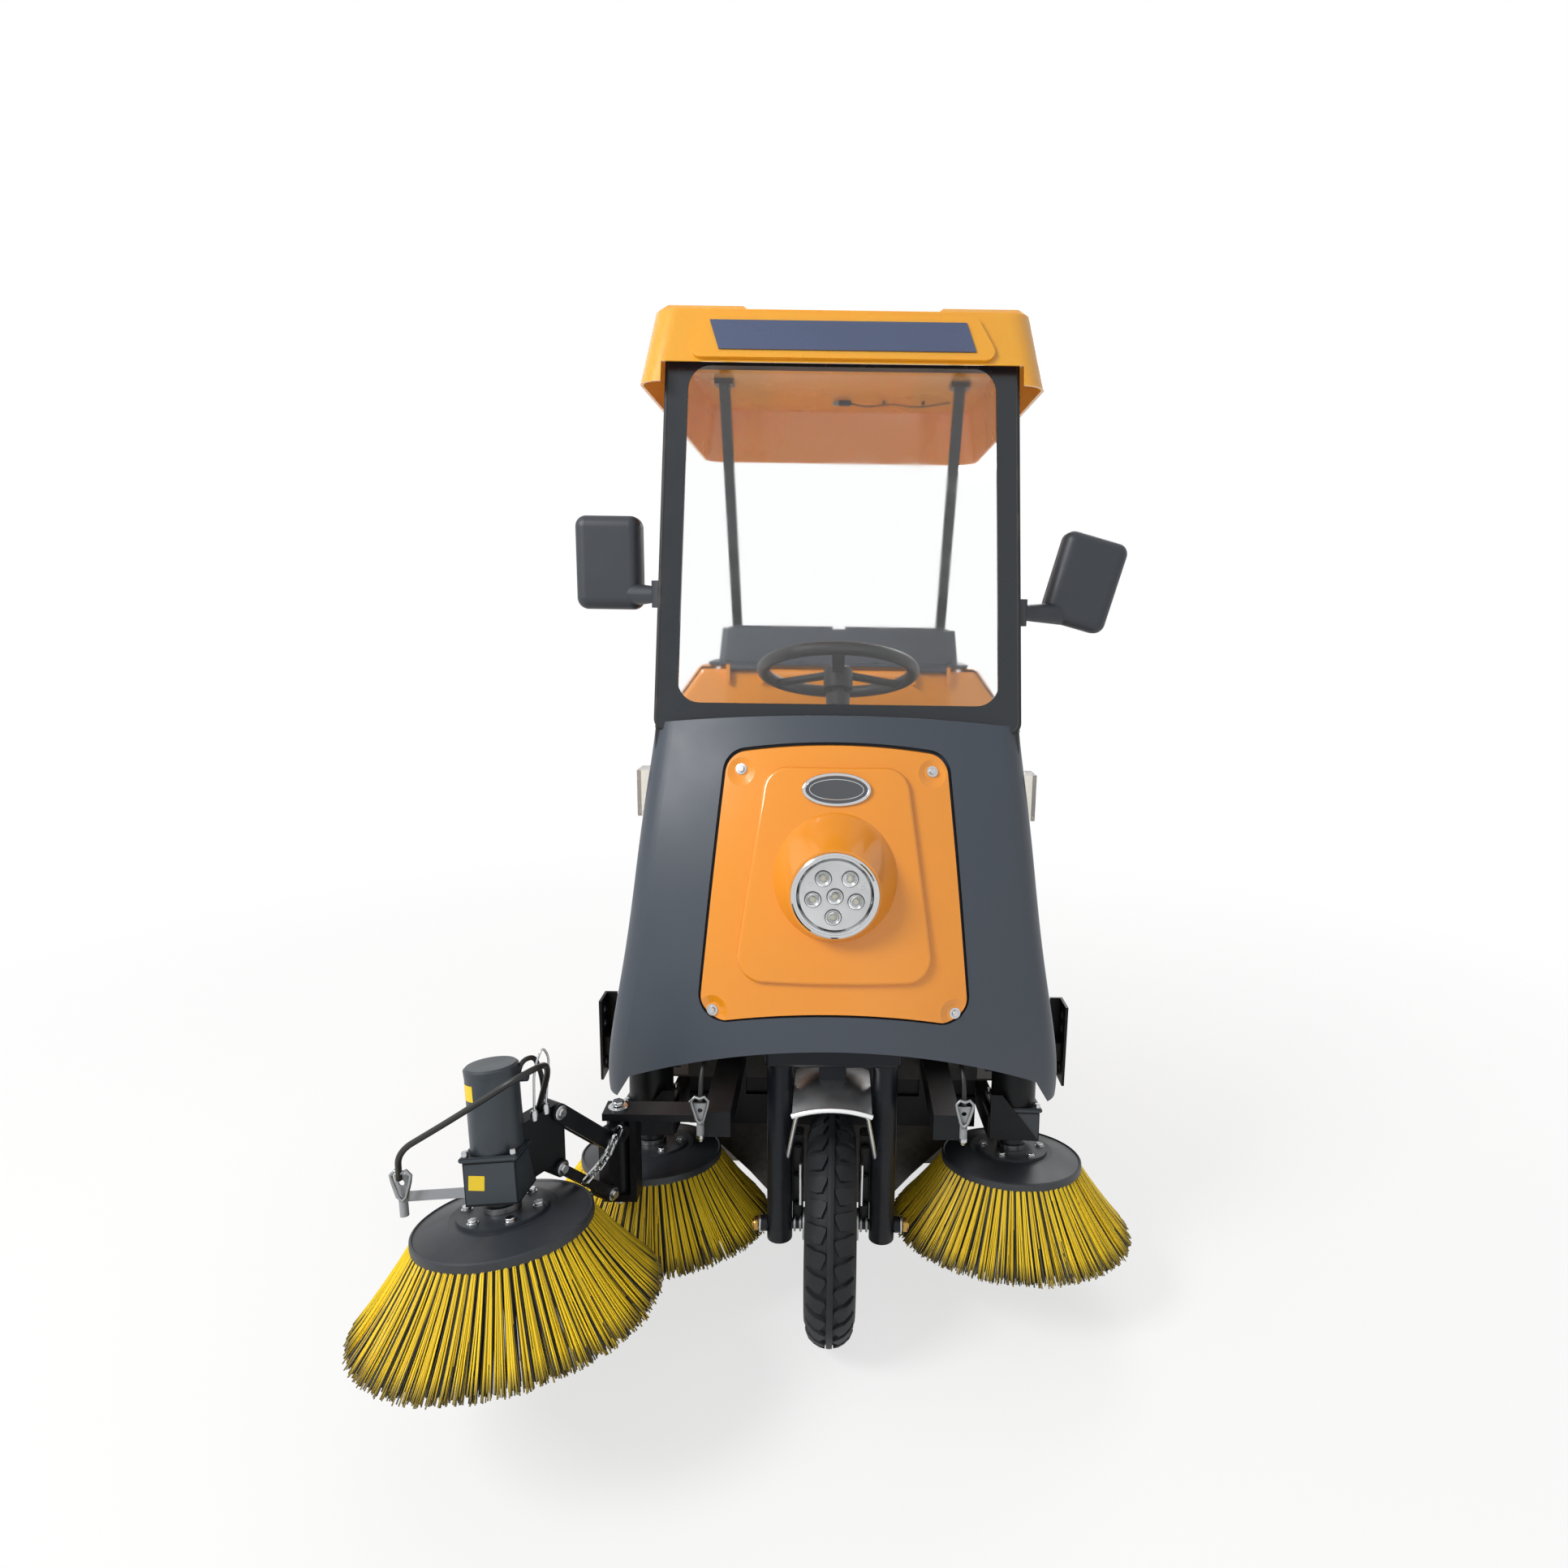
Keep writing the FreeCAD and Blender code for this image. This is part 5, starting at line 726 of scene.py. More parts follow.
def make_treads():
    """Arrow blocks on both sides of a middle rib, on a carcass that leaves deep grooves between them."""
    tree = around_group()
    count = look().tread_blocks
    step = 2 * math.pi * TYRE_RADIUS / count
    crown = (TYRE_HALF ** 2 + TYRE_DROP ** 2) / (2 * TYRE_DROP)

    def lifted(x, y, lift):
        turn = math.asin(x * TYRE_HALF / crown)
        angle = y * step / TYRE_RADIUS
        reach = (TYRE_RADIUS - crown + (crown + lift) * math.cos(turn)) / 1000
        across = (crown + lift) * math.sin(turn) / 1000
        return Vector((across, reach * math.sin(angle), reach * math.cos(angle)))

    for body, (node, centre) in TYRES.items():
        block = Piece("block")
        for side in (-1, 1):
            rows = []
            for x, low, high in BLOCK:
                top = 0.0 if x < 0.9 else -2.0
                low, high = low + side * STAGGER, high + side * STAGGER
                rows.append([block.mesh.verts.new(lifted(side * x, y, lift)) for y, lift in
                             ((low - FLARE, FOOT), (low, top), (high, top), (high + FLARE, FOOT))])
            block.skin("tyre_rubber", rows)
        rib = [[block.mesh.verts.new(lifted(x, -0.5 + share / 4, lift)) for share in range(5)]
               for x, lift in RIB]
        block.paint([block.mesh.faces.new((a[k], b[k], b[k + 1], a[k + 1]))
                     for a, b in zip(rib, rib[1:]) for k in range(4)], "tyre_rubber")
        bmesh.ops.recalc_face_normals(block.mesh, faces=block.mesh.faces)
        source = bpy.data.objects.new("block", bpy.data.meshes.new("block"))
        block.mesh.to_mesh(source.data)
        block.mesh.free()
        piece = grown(node + "_tread", tree, {"Count": count, "Material": finishes["tyre_rubber"]}, source)
        piece.data.transform(Matrix.Translation(at(*centre)))
        bpy.data.objects.remove(source)
        piece = merged(node + "_tread", [piece, carcass(node, centre, crown)])
        settle(piece, body)
        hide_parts(node)


# Fittings

surfaces = {}
BACK, FRONT, DOWN, UP = (0, 1, 0), (0, -1, 0), (0, 0, -1), (0, 0, 1)    # directions, by where they point


def hit(node, start, direction):
    """First point of a CAD node along a ray from a place in mm, and the outward normal there."""
    if node not in surfaces:
        surfaces[node] = BVHTree.FromObject(frame["nodes"][node], bpy.context.evaluated_depsgraph_get())
    direction = Vector(direction).normalized()
    point, normal, _, _ = surfaces[node].ray_cast(at(*start), direction)
    if point is None:
        raise RuntimeError(f"no surface of {node} from {start}")
    return point, normal if normal.dot(direction) < 0 else -normal


def seat_on(node, start, direction):
    """Matrix on a CAD node's surface, with z out of it, where a ray from a place in mm meets it."""
    return towards(*hit(node, start, direction))


def raised(seat, z):
    """The same matrix, moved along its own z."""
    return seat @ Matrix.Translation((0, 0, z))


FRAME_FINISHES = {
    "black_powder_coat": "chassis_frame rear_axle rear_bumper brush_tunnel pedals brush_carrier_left "
                         "brush_carrier_right boom_base boom_upper_link boom_lower_link boom_head seat_base",
    "fork_enamel": "front_fork",
    "tyre_rubber": "front_tyre rear_tyre_left rear_tyre_right",
    "zinc_steel": "front_hub rear_rim_left rear_rim_right",
    "stainless": "front_fender",
    "grey_abs": "front_cowl rear_lid",
    "orange_gelcoat": "front_panel rear_body hopper_door",
    "yellow_gelcoat": "roof_shell",
    "chromed_plastic": "headlamp",
    "black_profile": "windscreen_frame rear_posts",
    "laminated_glass": "windscreen_glass",
    "sign_acrylic": "roof_sign_plate",
    "black_nylon": "mirrors",
    "mat_rubber": "floor_pan",
    "interior_abs": "dash_console steering_column",
    "soft_grip": "steering_wheel",
    "box_plastic": "battery_block",
    "bin_paint": "hopper_bin",
    "slate_polypropylene": "brush_disc_left brush_disc_right boom_disc main_brush_core",
    "motor_enamel": "boom_motor",
    "skirt_rubber": "tunnel_skirts",
    "grey_polyamide": "spray_nozzles boom_nozzle",
    "signal_lens": "signal_lamps",
    "hose_rubber": "boom_hose",
}


def paint_frame():
    """Gives the CAD nodes their finishes; their shapes stay as they are."""
    for finish_name, nodes in FRAME_FINISHES.items():
        for node in nodes.split():
            for holder in frame["nodes"][node].material_slots:
                holder.material = finishes[finish_name]


PANEL_BOLTS = ((-180, 1118), (180, 1118), (-225, 682), (225, 682))
LAMP_FACE, LAMP_Z = -86, 917        # front of the lamp's plate, and its middle
LAMP_CUPS = ((-21, 31), (26, 31), (-39, -7), (0, -1), (37, -10), (-3, -39))    # from the middle
LAMP_SCREWS = ((-43, 21), (49, 15))


def make_front():
    """Panel bolts and the lamp's bezel, plate, cups and lens."""
    bolts = Piece("front_panel_bolts")
    for x, z in PANEL_BOLTS:
        point, normal = hit("front_panel", (x, -400, z), BACK)
        bolts.lathe("bright_zinc", [(0, 0.0002), (0.0105, 0.0002), (0.0105, 0.0016), (0.0080, 0.0020),
                                    (0, 0.0020)], towards(point, normal), 36)
        bolts.bolt(point + normal * 0.0018, normal, 0.0075, washer=False)
    bolts.done("chassis")

    lamp = Piece("lamp_inside")
    face = towards(at(0, LAMP_FACE, LAMP_Z), FRONT)
    lamp.lathe("chromed_plastic", [(0.0715, -0.002), (0.0725, 0.005), (0.0755, 0.0068), (0.0785, 0.005),
                                   (0.079, 0.000), (0.0765, -0.003)], face, 72)
    lamp.lathe("lamp_plate", [(0, -0.0025), (0.0705, -0.0025), (0.0715, 0.0)], face, 64)
    for x, z in LAMP_CUPS:
        seat = towards(at(x, LAMP_FACE, LAMP_Z + z), FRONT)
        lamp.lathe("interior_abs", [(0.0138, -0.0024), (0.0138, -0.0016), (0.0152, -0.0016),
                                    (0.0152, -0.0024)], seat, 32)
        lamp.lathe("lamp_reflector", [(0.0045, -0.0020), (0.0115, 0.0022), (0.0135, 0.0024),
                                      (0.0140, -0.0020)], seat, 32)
        lamp.lathe("led_dome", [(0.0055, -0.0018), (0.0050, 0.0010), (0.0028, 0.0030), (0, 0.0036)], seat, 20)
    lamp.lathe("clear_lens", [(0.0712, 0.0040), (0.060, 0.0068), (0.035, 0.0092), (0, 0.0100),
                              (0, 0.0090), (0.035, 0.0082), (0.060, 0.0058), (0.0712, 0.0030)], face, 64)
    for x, z in LAMP_SCREWS:
        lamp.bolt(at(x, -83.6, LAMP_Z + z), FRONT, 0.0038)
    lamp.done("chassis")


SCREEN_FOOT, SCREEN_HEAD, SCREEN_LEAN = 1186, 1920, math.radians(8.3)
SCREEN_HALF_LOW, SCREEN_HALF_HIGH = 0.3535, 0.3355


def screen_plane():
    """Matrix of the glass's outer face: origin at its foot in the middle, y up the slope."""
    low, _ = hit("windscreen_glass", (0, -400, 1300), BACK)
    high, _ = hit("windscreen_glass", (0, -400, 1800), BACK)
    up = (high - low).normalized()
    foot = low - up * ((low.z - at(0, 0, SCREEN_FOOT).z) / up.z)
    side = Vector((1, 0, 0))
    turn = Matrix((side, up, side.cross(up))).transposed().to_4x4()
    return Matrix.Translation(foot) @ turn


def make_screen():
    """Black ceramic border with a rounded clear field, and a rubber bead."""
    plane = screen_plane()
    high = (SCREEN_HEAD - SCREEN_FOOT) / math.cos(SCREEN_LEAN) / 1000

    def outline(margin, foot, head, radius):
        half_low, half_high = SCREEN_HALF_LOW - margin, SCREEN_HALF_HIGH - margin
        points = []
        for x, y in oval(1, 1, radius, 8):
            share = (y + 1) / 2
            half = half_low + (half_high - half_low) * share
            points.append((x * half, foot + (high - foot - head) * share))
        return points

    border = Piece("windscreen_frit")
    border.plate("ceramic_frit", outline(0.001, 0.002, 0.002, 0.04), raised(plane, 0.0003), 0.0004,
                 hole=outline(0.040, 0.050, 0.044, 0.14))
    border.done("chassis")
    bead = Piece("windscreen_bead")
    path = [plane @ Vector((x, y, -0.004)) for x, y in outline(0.0, 0.0, 0.0, 0.05)]
    bead.sweep("skirt_rubber", path, 0.0055, sides=10, closed=True)
    bead.done("chassis")


AXLE_Z = 215
LEG_X = 66                                   # middle of the fork's black inner plates
GUARD_HALF, GUARD_REACH, GUARD_BOW = 74, 311.5, 16    # the guard's front edge about the axle
GUARD_LEAN = math.radians(18)


def make_fork():
    """Axle nuts, leg rings, black inner plates and stays of the fork, and the guard's rolled edge."""
    nuts = Piece("fork_fittings")
    for side in (-1, 1):
        end, _ = hit("front_fork", (side * 400, 0, AXLE_Z), (-side, 0, 0))
        nuts.lathe("bright_zinc", [(0, 0), (0.017, 0), (0.017, 0.0025), (0, 0.0025)],
                   towards(end, (side, 0, 0)), 32)
        nuts.bolt(end + Vector((side * 0.0025, 0, 0)), (side, 0, 0), 0.016, "brass", washer=False)
        nuts.rod("brass", end + Vector((side * 0.011, 0, 0)), end + Vector((side * 0.017, 0, 0)), 0.0075,
                 sides=24)
        nuts.lathe("fork_enamel", [(0.0255, -0.008), (0.0285, -0.007), (0.0285, 0.007), (0.0255, 0.008)],
                   Matrix.Translation(at(side * 101, 2, 560)), 40)
        nuts.box("black_powder_coat", at(side * LEG_X, 30, 300), (0.021, 0.030, 0.200), bevel=0.003)
        for z in (238, 300, 362):
            nuts.box("black_powder_coat", at(side * LEG_X, 12, z), (0.015, 0.018, 0.036), bevel=0.003)
        nuts.rod("stainless", at(side * 60, -8, 262), at(side * 60, -14, 352), 0.0030, sides=20)
        for colour, x, long, radius in (("bright_zinc", 54, 22, 0.009), ("cast_aluminium", 58, 4, 0.015),
                                        ("cast_aluminium", 69, 4, 0.015)):
            nuts.rod(colour, at(side * x, 0, AXLE_Z), at(side * (x + long), 0, AXLE_Z), radius, bevel=0.001)
    nuts.box("fork_enamel", at(0, 18, 542), (0.052, 0.048, 0.044), bevel=0.003)
    edge = []
    for k in range(25):
        x = -GUARD_HALF + 2 * GUARD_HALF * k / 24
        reach = GUARD_REACH - GUARD_BOW * (x / GUARD_HALF) ** 2
        edge.append(at(x, -reach * math.sin(GUARD_LEAN), AXLE_Z + reach * math.cos(GUARD_LEAN)))
    nuts.sweep("stainless", edge, 0.0052, sides=16)
    nuts.done("front_fork")


APRON_Y, STRIP_Z, STRIP_BOLTS, STRIP_PITCH = 302, 285, 7, 84
APRON_HALF = [(0.122, 0.066), (0.186, 0.140), (0.270, 0.225), (0.312, 0.300)]    # keeps clear of the brushes


def make_apron():
    """Rubber apron hung from the cross member behind the front wheel, with its clamp strip."""
    apron = Piece("front_apron")
    stand = Matrix.Translation(at(0, APRON_Y, 0)) @ turned(90, "X")
    apron.plate("skirt_rubber", [(-x, z) for x, z in reversed(APRON_HALF)] + APRON_HALF, stand, 0.006,
                bevel=0.0015)
    apron.box("black_powder_coat", at(0, APRON_Y - 8, STRIP_Z), (0.56, 0.004, 0.022), bevel=0.001)
    for k in range(STRIP_BOLTS):
        x = STRIP_PITCH * (k - (STRIP_BOLTS - 1) / 2)
        apron.bolt(at(x, APRON_Y - 10, STRIP_Z), FRONT, 0.006, "black_powder_coat")
    apron.done("chassis")


# Cab

VOXEL, QUICK_VOXEL = 0.006, 0.012    # cell of a pad's remeshed cage
PUFF_CAP = 0.014                      # farthest that a pad's surface may move
HELD = 0.012                          # depth of the side that stays flat
CLOTH_FRAMES = 20


def reshaped(piece, name):
    """Applies a piece's modifiers to its mesh."""
    data = evaluated(piece)
    piece.modifiers.clear()
    piece.data = data
    data.name = name


def cushion(name, node):
    """A pad blown up from its CAD solid by a short cloth simulation."""
    rough = bmesh.new()
    rough.from_mesh(frame["nodes"][node].data)
    bmesh.ops.remove_doubles(rough, verts=rough.verts, dist=0.00005)
    centre = sum((v.co for v in rough.verts), Vector()) / len(rough.verts)
    for vert in rough.verts:
        vert.co += (centre - vert.co).normalized() * 0.005
    data = bpy.data.meshes.new(name)
    rough.to_mesh(data)
    rough.free()
    piece = placed(name, data)
    remesh = piece.modifiers.new("voxels", "REMESH")
    remesh.mode = "VOXEL"
    remesh.voxel_size = VOXEL
    reshaped(piece, name)
    start = [v.co.copy() for v in piece.data.vertices]
    pins = piece.vertex_groups.new(name="base")
    low = min(p.z for p in start) + HELD
    back = max(p.y for p in start) - HELD
    flat = [i for i, p in enumerate(start) if (p.z < low if node == "seat_cushion" else p.y > back)]
    pins.add(flat, 1.0, "REPLACE")
    cloth = piece.modifiers.new("cloth", "CLOTH")
    cloth.settings.use_pressure = True
    cloth.settings.uniform_pressure_force = look().cloth_pressure
    cloth.settings.effector_weights.gravity = 0
    cloth.settings.vertex_group_mass = "base"
    for step in range(1, CLOTH_FRAMES + 1):
        bpy.context.scene.frame_set(step)
    reshaped(piece, name)
    bpy.context.scene.frame_set(1)
    for vert, first in zip(piece.data.vertices, start):
        moved = vert.co - first
        if moved.length > PUFF_CAP:
            vert.co = first + moved.normalized() * PUFF_CAP
    smooth = piece.modifiers.new("finer", "SUBSURF")
    smooth.levels = smooth.render_levels = 1
    reshaped(piece, name)
    piece.data.materials.clear()
    piece.data.materials.append(finishes["seat_vinyl"])
    piece.data.shade_smooth()
    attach(piece, "chassis")
    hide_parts(node)
    return piece


def piping(piece, path, radius=0.0035):
    """Sewn welt laid on a cushion's surface along a closed path."""
    tree = BVHTree.FromObject(piece, bpy.context.evaluated_depsgraph_get())
    welt = Piece(piece.name + "_welt")
    welt.sweep("seam_thread", [tree.find_nearest(p)[0] for p in path], radius, sides=8, closed=True)
    welt.done("chassis")


def make_seat():
    """Blown seat and backrest pads with welts around their faces."""
    pad = cushion("seat_pad", "seat_cushion")
    piping(pad, [at(x, 674 + y, 866) for x, y in oval(226, 104, 40)])
    piping(pad, [at(x, 668 + y, 880) for x, y in oval(140, 62, 30)], 0.0022)
    rest = cushion("backrest_pad", "seat_backrest")
    piping(rest, [at(x, 800, 1018 + z) for x, z in oval(210, 112, 40)])


COLUMN_LEAN = math.radians(20)
# The dash's display and three switches: x, width, height, their finish and how far they stand out
DASH_PARTS = ((-150, 0.105, 0.062, "ceramic_frit", 0.0025), (120, 0.038, 0.024, "interior_abs", 0.005),
              (175, 0.038, 0.024, "interior_abs", 0.005), (230, 0.038, 0.024, "interior_abs", 0.005))
DASH_Y, DASH_DOWN = 420, (0, -0.45, -1)
RIBS, RIB_FROM, RIB_PITCH = 26, 392, 9
MIRRORS = ((-464, 1504, 0), (494, 1478, 15))
ROOF_LEAD = ((20, 985, 1966), (70, 990, 1958), (130, 992, 1968), (200, 990, 1958), (290, 985, 1971))


def make_cab():
    """Hand wheel cap, dash display and switches, pedal and floor ribs, mirror glass, roof lead."""
    wheel = Piece("wheel_cap")
    hub = towards(at(0, 413, 1283), (0, math.sin(COLUMN_LEAN), math.cos(COLUMN_LEAN)))
    wheel.lathe("interior_abs", [(0.030, -0.002), (0.030, 0.005), (0.024, 0.009), (0, 0.010)], hub, 48)
    wheel.lathe("black_profile", [(0.0185, 0.0085), (0.020, 0.0105), (0.0215, 0.0085)], hub, 48)
    wheel.done("steering_wheel")

    dash = Piece("dash_fittings")
    for x, wide, high, colour, thick in DASH_PARTS:
        seat = seat_on("dash_console", (x, DASH_Y, 1400), DASH_DOWN)
        dash.plate("black_profile", oval(wide / 2 + 0.006, high / 2 + 0.006, 0.006), seat, 0.003,
                   bevel=0.0008)
        dash.plate(colour, oval(wide / 2, high / 2, 0.004), raised(seat, 0.003), thick, bevel=0.0008)
    seat = seat_on("dash_console", (60, DASH_Y, 1400), DASH_DOWN)
    dash.lathe("chromed_plastic", [(0.013, 0), (0.013, 0.004), (0.010, 0.006), (0, 0.006)], seat, 40)
    dash.box("bright_zinc", raised(seat, 0.014), (0.003, 0.012, 0.018), 0.0008)
    dash.box("black_nylon", raised(seat, 0.032), (0.006, 0.022, 0.022), 0.002)
    dash.lathe("red_lens", [(0, 0.020), (0.014, 0.019), (0.017, 0.015), (0.017, 0.009), (0.009, 0.007),
                            (0.009, 0)], seat_on("dash_console", (-60, DASH_Y, 1400), DASH_DOWN), 40)
    dash.done("chassis")

    ribs = Piece("floor_ribs")
    for k in range(RIBS):
        for low, high in ((-405, -260), (-84, 405)):
            ribs.box("mat_rubber", at((low + high) / 2, RIB_FROM + k * RIB_PITCH, 414.6),
                     ((high - low) / 1000, 0.0042, 0.0022))
    for side in (-1, 1):
        ribs.box("bright_zinc", at(side * 424, 500, 415.5), (0.010, 0.24, 0.003), bevel=0.001)
    ribs.done("chassis")

    pads = Piece("pedal_ribs")
    for x in (-130, -216):
        for k in range(7):
            point, normal = hit("pedals", (x, 305 + k * 10, 700), DOWN)
            pads.box("mat_rubber", point + normal * 0.001, (0.056, 0.0045, 0.003), bevel=0.0008)
    pads.done("chassis")

    mirrors = Piece("mirror_glasses")
    for x, z, turn in MIRRORS:
        seat = Matrix.Translation(at(x, 290.6, z)) @ turned(turn, "Y") @ turned(-90, "X")
        mirrors.plate("silvered_glass", oval(0.0535, 0.0795, 0.010), seat, 0.0016, bevel=0.0005)
    mirrors.done("chassis")

    lead = Piece("roof_lead")
    lead.sweep("hose_rubber", rounded([at(*p) for p in ROOF_LEAD], 0.03), 0.0022, sides=8)
    lead.box("black_nylon", at(8, 985, 1966), (0.034, 0.015, 0.013), bevel=0.002)
    lead.box("grey_polyamide", at(-16, 985, 1966), (0.016, 0.013, 0.011), bevel=0.002)
    for x in (112, 218):
        lead.box("black_nylon", at(x, 990, 1970), (0.008, 0.014, 0.008), bevel=0.001)
    lead.done("chassis")


# Brush drives and boom

def tilted(centre, out):
    """Frame of a brush: origin at its disc's foot, z up its shaft."""
    return Matrix.Translation(at(*centre)) @ turned(out, "Y") @ turned(-8, "X")


# Each drive: disc's foot, lean outwards in degrees, its carrier, then in mm the gearbox's half width, foot
# and height, and the motor's radius and length
DRIVES = {
    "side_brush_left": ((380, 140, 275), 1, "brush_carrier_left", 47, 60, 68, 46, 90),
    "side_brush_right": ((-380, 140, 275), -1, "brush_carrier_right", 47, 60, 68, 46, 90),
    "boom_brush": ((-540, -288, 404), -5, "boom_head", 43, 53, 81, 43, 135),
}


LABEL_LOW, LABEL_HIGH = 48, 22    # the motor's label, below its top


def label_gearbox_and_motor(drive, put, base, half, middle, motor, top):
    """Yellow labels left blank: a flat one on the gearbox, one bent round the motor."""
    drive.plate("blank_label", oval(0.013, 0.012, 0.001),
                towards(put(-22, -half - 0.8, middle - 2), base.to_3x3() @ Vector((0, -1, 0))), 0.0003)
    rings = []
    for k in range(9):
        a = math.radians(205 + 5 * k)
        rings.append([drive.mesh.verts.new(put(r * math.cos(a), r * math.sin(a), z)) for r, z in
                      ((motor + 0.2, top - LABEL_LOW), (motor + 0.5, top - LABEL_LOW),
                       (motor + 0.5, top - LABEL_HIGH), (motor + 0.2, top - LABEL_HIGH))])
    drive.skin("blank_label", rings)


def make_drives():
    """Disc rims and flange bolts, gearbox shells with their bolts, motor caps and glands."""
    for body, (centre, out, carrier, half, foot, high, motor, long) in DRIVES.items():
        base = tilted(centre, out)

        def put(x, y, z):
            return base @ (Vector((x, y, z)) / 1000)

        up = base.to_3x3() @ Vector((0, 0, 1))
        disc = Piece(body + "_fittings")
        disc.lathe("slate_polypropylene", [(0.1385, 0.0088), (0.1420, 0.0125), (0.1452, 0.0105),
                                           (0.1458, 0.002), (0.1450, -0.0035), (0.1400, -0.0040),
                                           (0.1385, 0.0088)], base, 96)
        for k in range(6):
            a = 2 * math.pi * k / 6
            disc.bolt(put(60 * math.cos(a), 60 * math.sin(a), 30), up, 0.009)
        disc.lathe("zinc_steel", [(0.0245, 0.030), (0.0300, 0.0305), (0.0300, 0.040), (0.0245, 0.041)],
                   base, 48)
        disc.done(body)

        drive = Piece(carrier + "_fittings")
        middle = foot + high / 2
        shell = 2 * half / 1000 + 0.0016
        drive.box("motor_enamel", raised(base, (middle - 4) / 1000), (shell, shell, (high - 10) / 1000),
                  0.003)
        drive.box("motor_enamel", raised(base, (foot + high - 4) / 1000),
                  (shell + 0.008, shell + 0.008, 0.008), 0.002)
        for x, y in ((1, 1), (-1, 1), (-1, -1), (1, -1)):
            drive.rod("bright_zinc", put(x * (half - 4), y * (half - 4), foot + high),
                      put(x * (half - 4), y * (half - 4), foot + high + 9), 0.0055, sides=20, bevel=0.0012)
        top = foot + high + long
        if carrier == "boom_head":
            label_gearbox_and_motor(drive, put, base, half, middle, motor, top)
        wide, lid = motor / 1000, top / 1000
        drive.lathe("motor_enamel", [(wide + 0.0004, lid - 0.012), (wide + 0.0010, lid - 0.002),
                                     (wide - 0.0030, lid + 0.0016), (0, lid + 0.0016)], base, 72)
        side = -1 if body == "side_brush_left" else 1
        gland = put(side * (motor - 3), 8, top - 26)
        drive.rod("black_nylon", gland, put(side * (motor + 14), 8, top - 26), 0.008, sides=20, bevel=0.001)
        drive.done(carrier)


def chained(piece, finish_name, path, pitch, wire):
    """Welded chain of oval links laid along a path, each turned a quarter from the last."""
    path = [Vector(p) for p in path]
    marks, run = [], 0.0
    for a, b in zip(path, path[1:]):
        span = (b - a).length
        while run < span:
            marks.append((a.lerp(b, run / span), (b - a).normalized()))
            run += pitch
        run -= span
    for k, (centre, along) in enumerate(marks):
        base = towards(centre, along, math.pi / 2 * (k % 2))
        loop = [base @ Vector((x, 0, y)) for x, y in oval(pitch * 0.42, pitch * 0.74, pitch * 0.40, 4)]
        piece.sweep(finish_name, loop, wire, sides=6, closed=True)


SWING_X, SWING_Y = -405, -45         # the post that the boom swings on
BOOM_X, BOOM_Y = -540, -288          # the boom's brush
LINK_PINS = ((42, 0), (165, 118))    # reach from the post, and rise
KEYHOLE = ((0, -26), (-7, -20), (-14, 6), (-16, 18), (-9, 26), (0, 22), (9, 26), (16, 18), (14, 6), (7, -20))


def keyhole(piece, centre):
    """Bent wire loop that holds a spray nozzle, around a place in mm."""
    piece.sweep("cast_aluminium", [at(*centre) + Vector((x, 0, z)) / 1000 for x, z in KEYHOLE], 0.0030,
                closed=True)


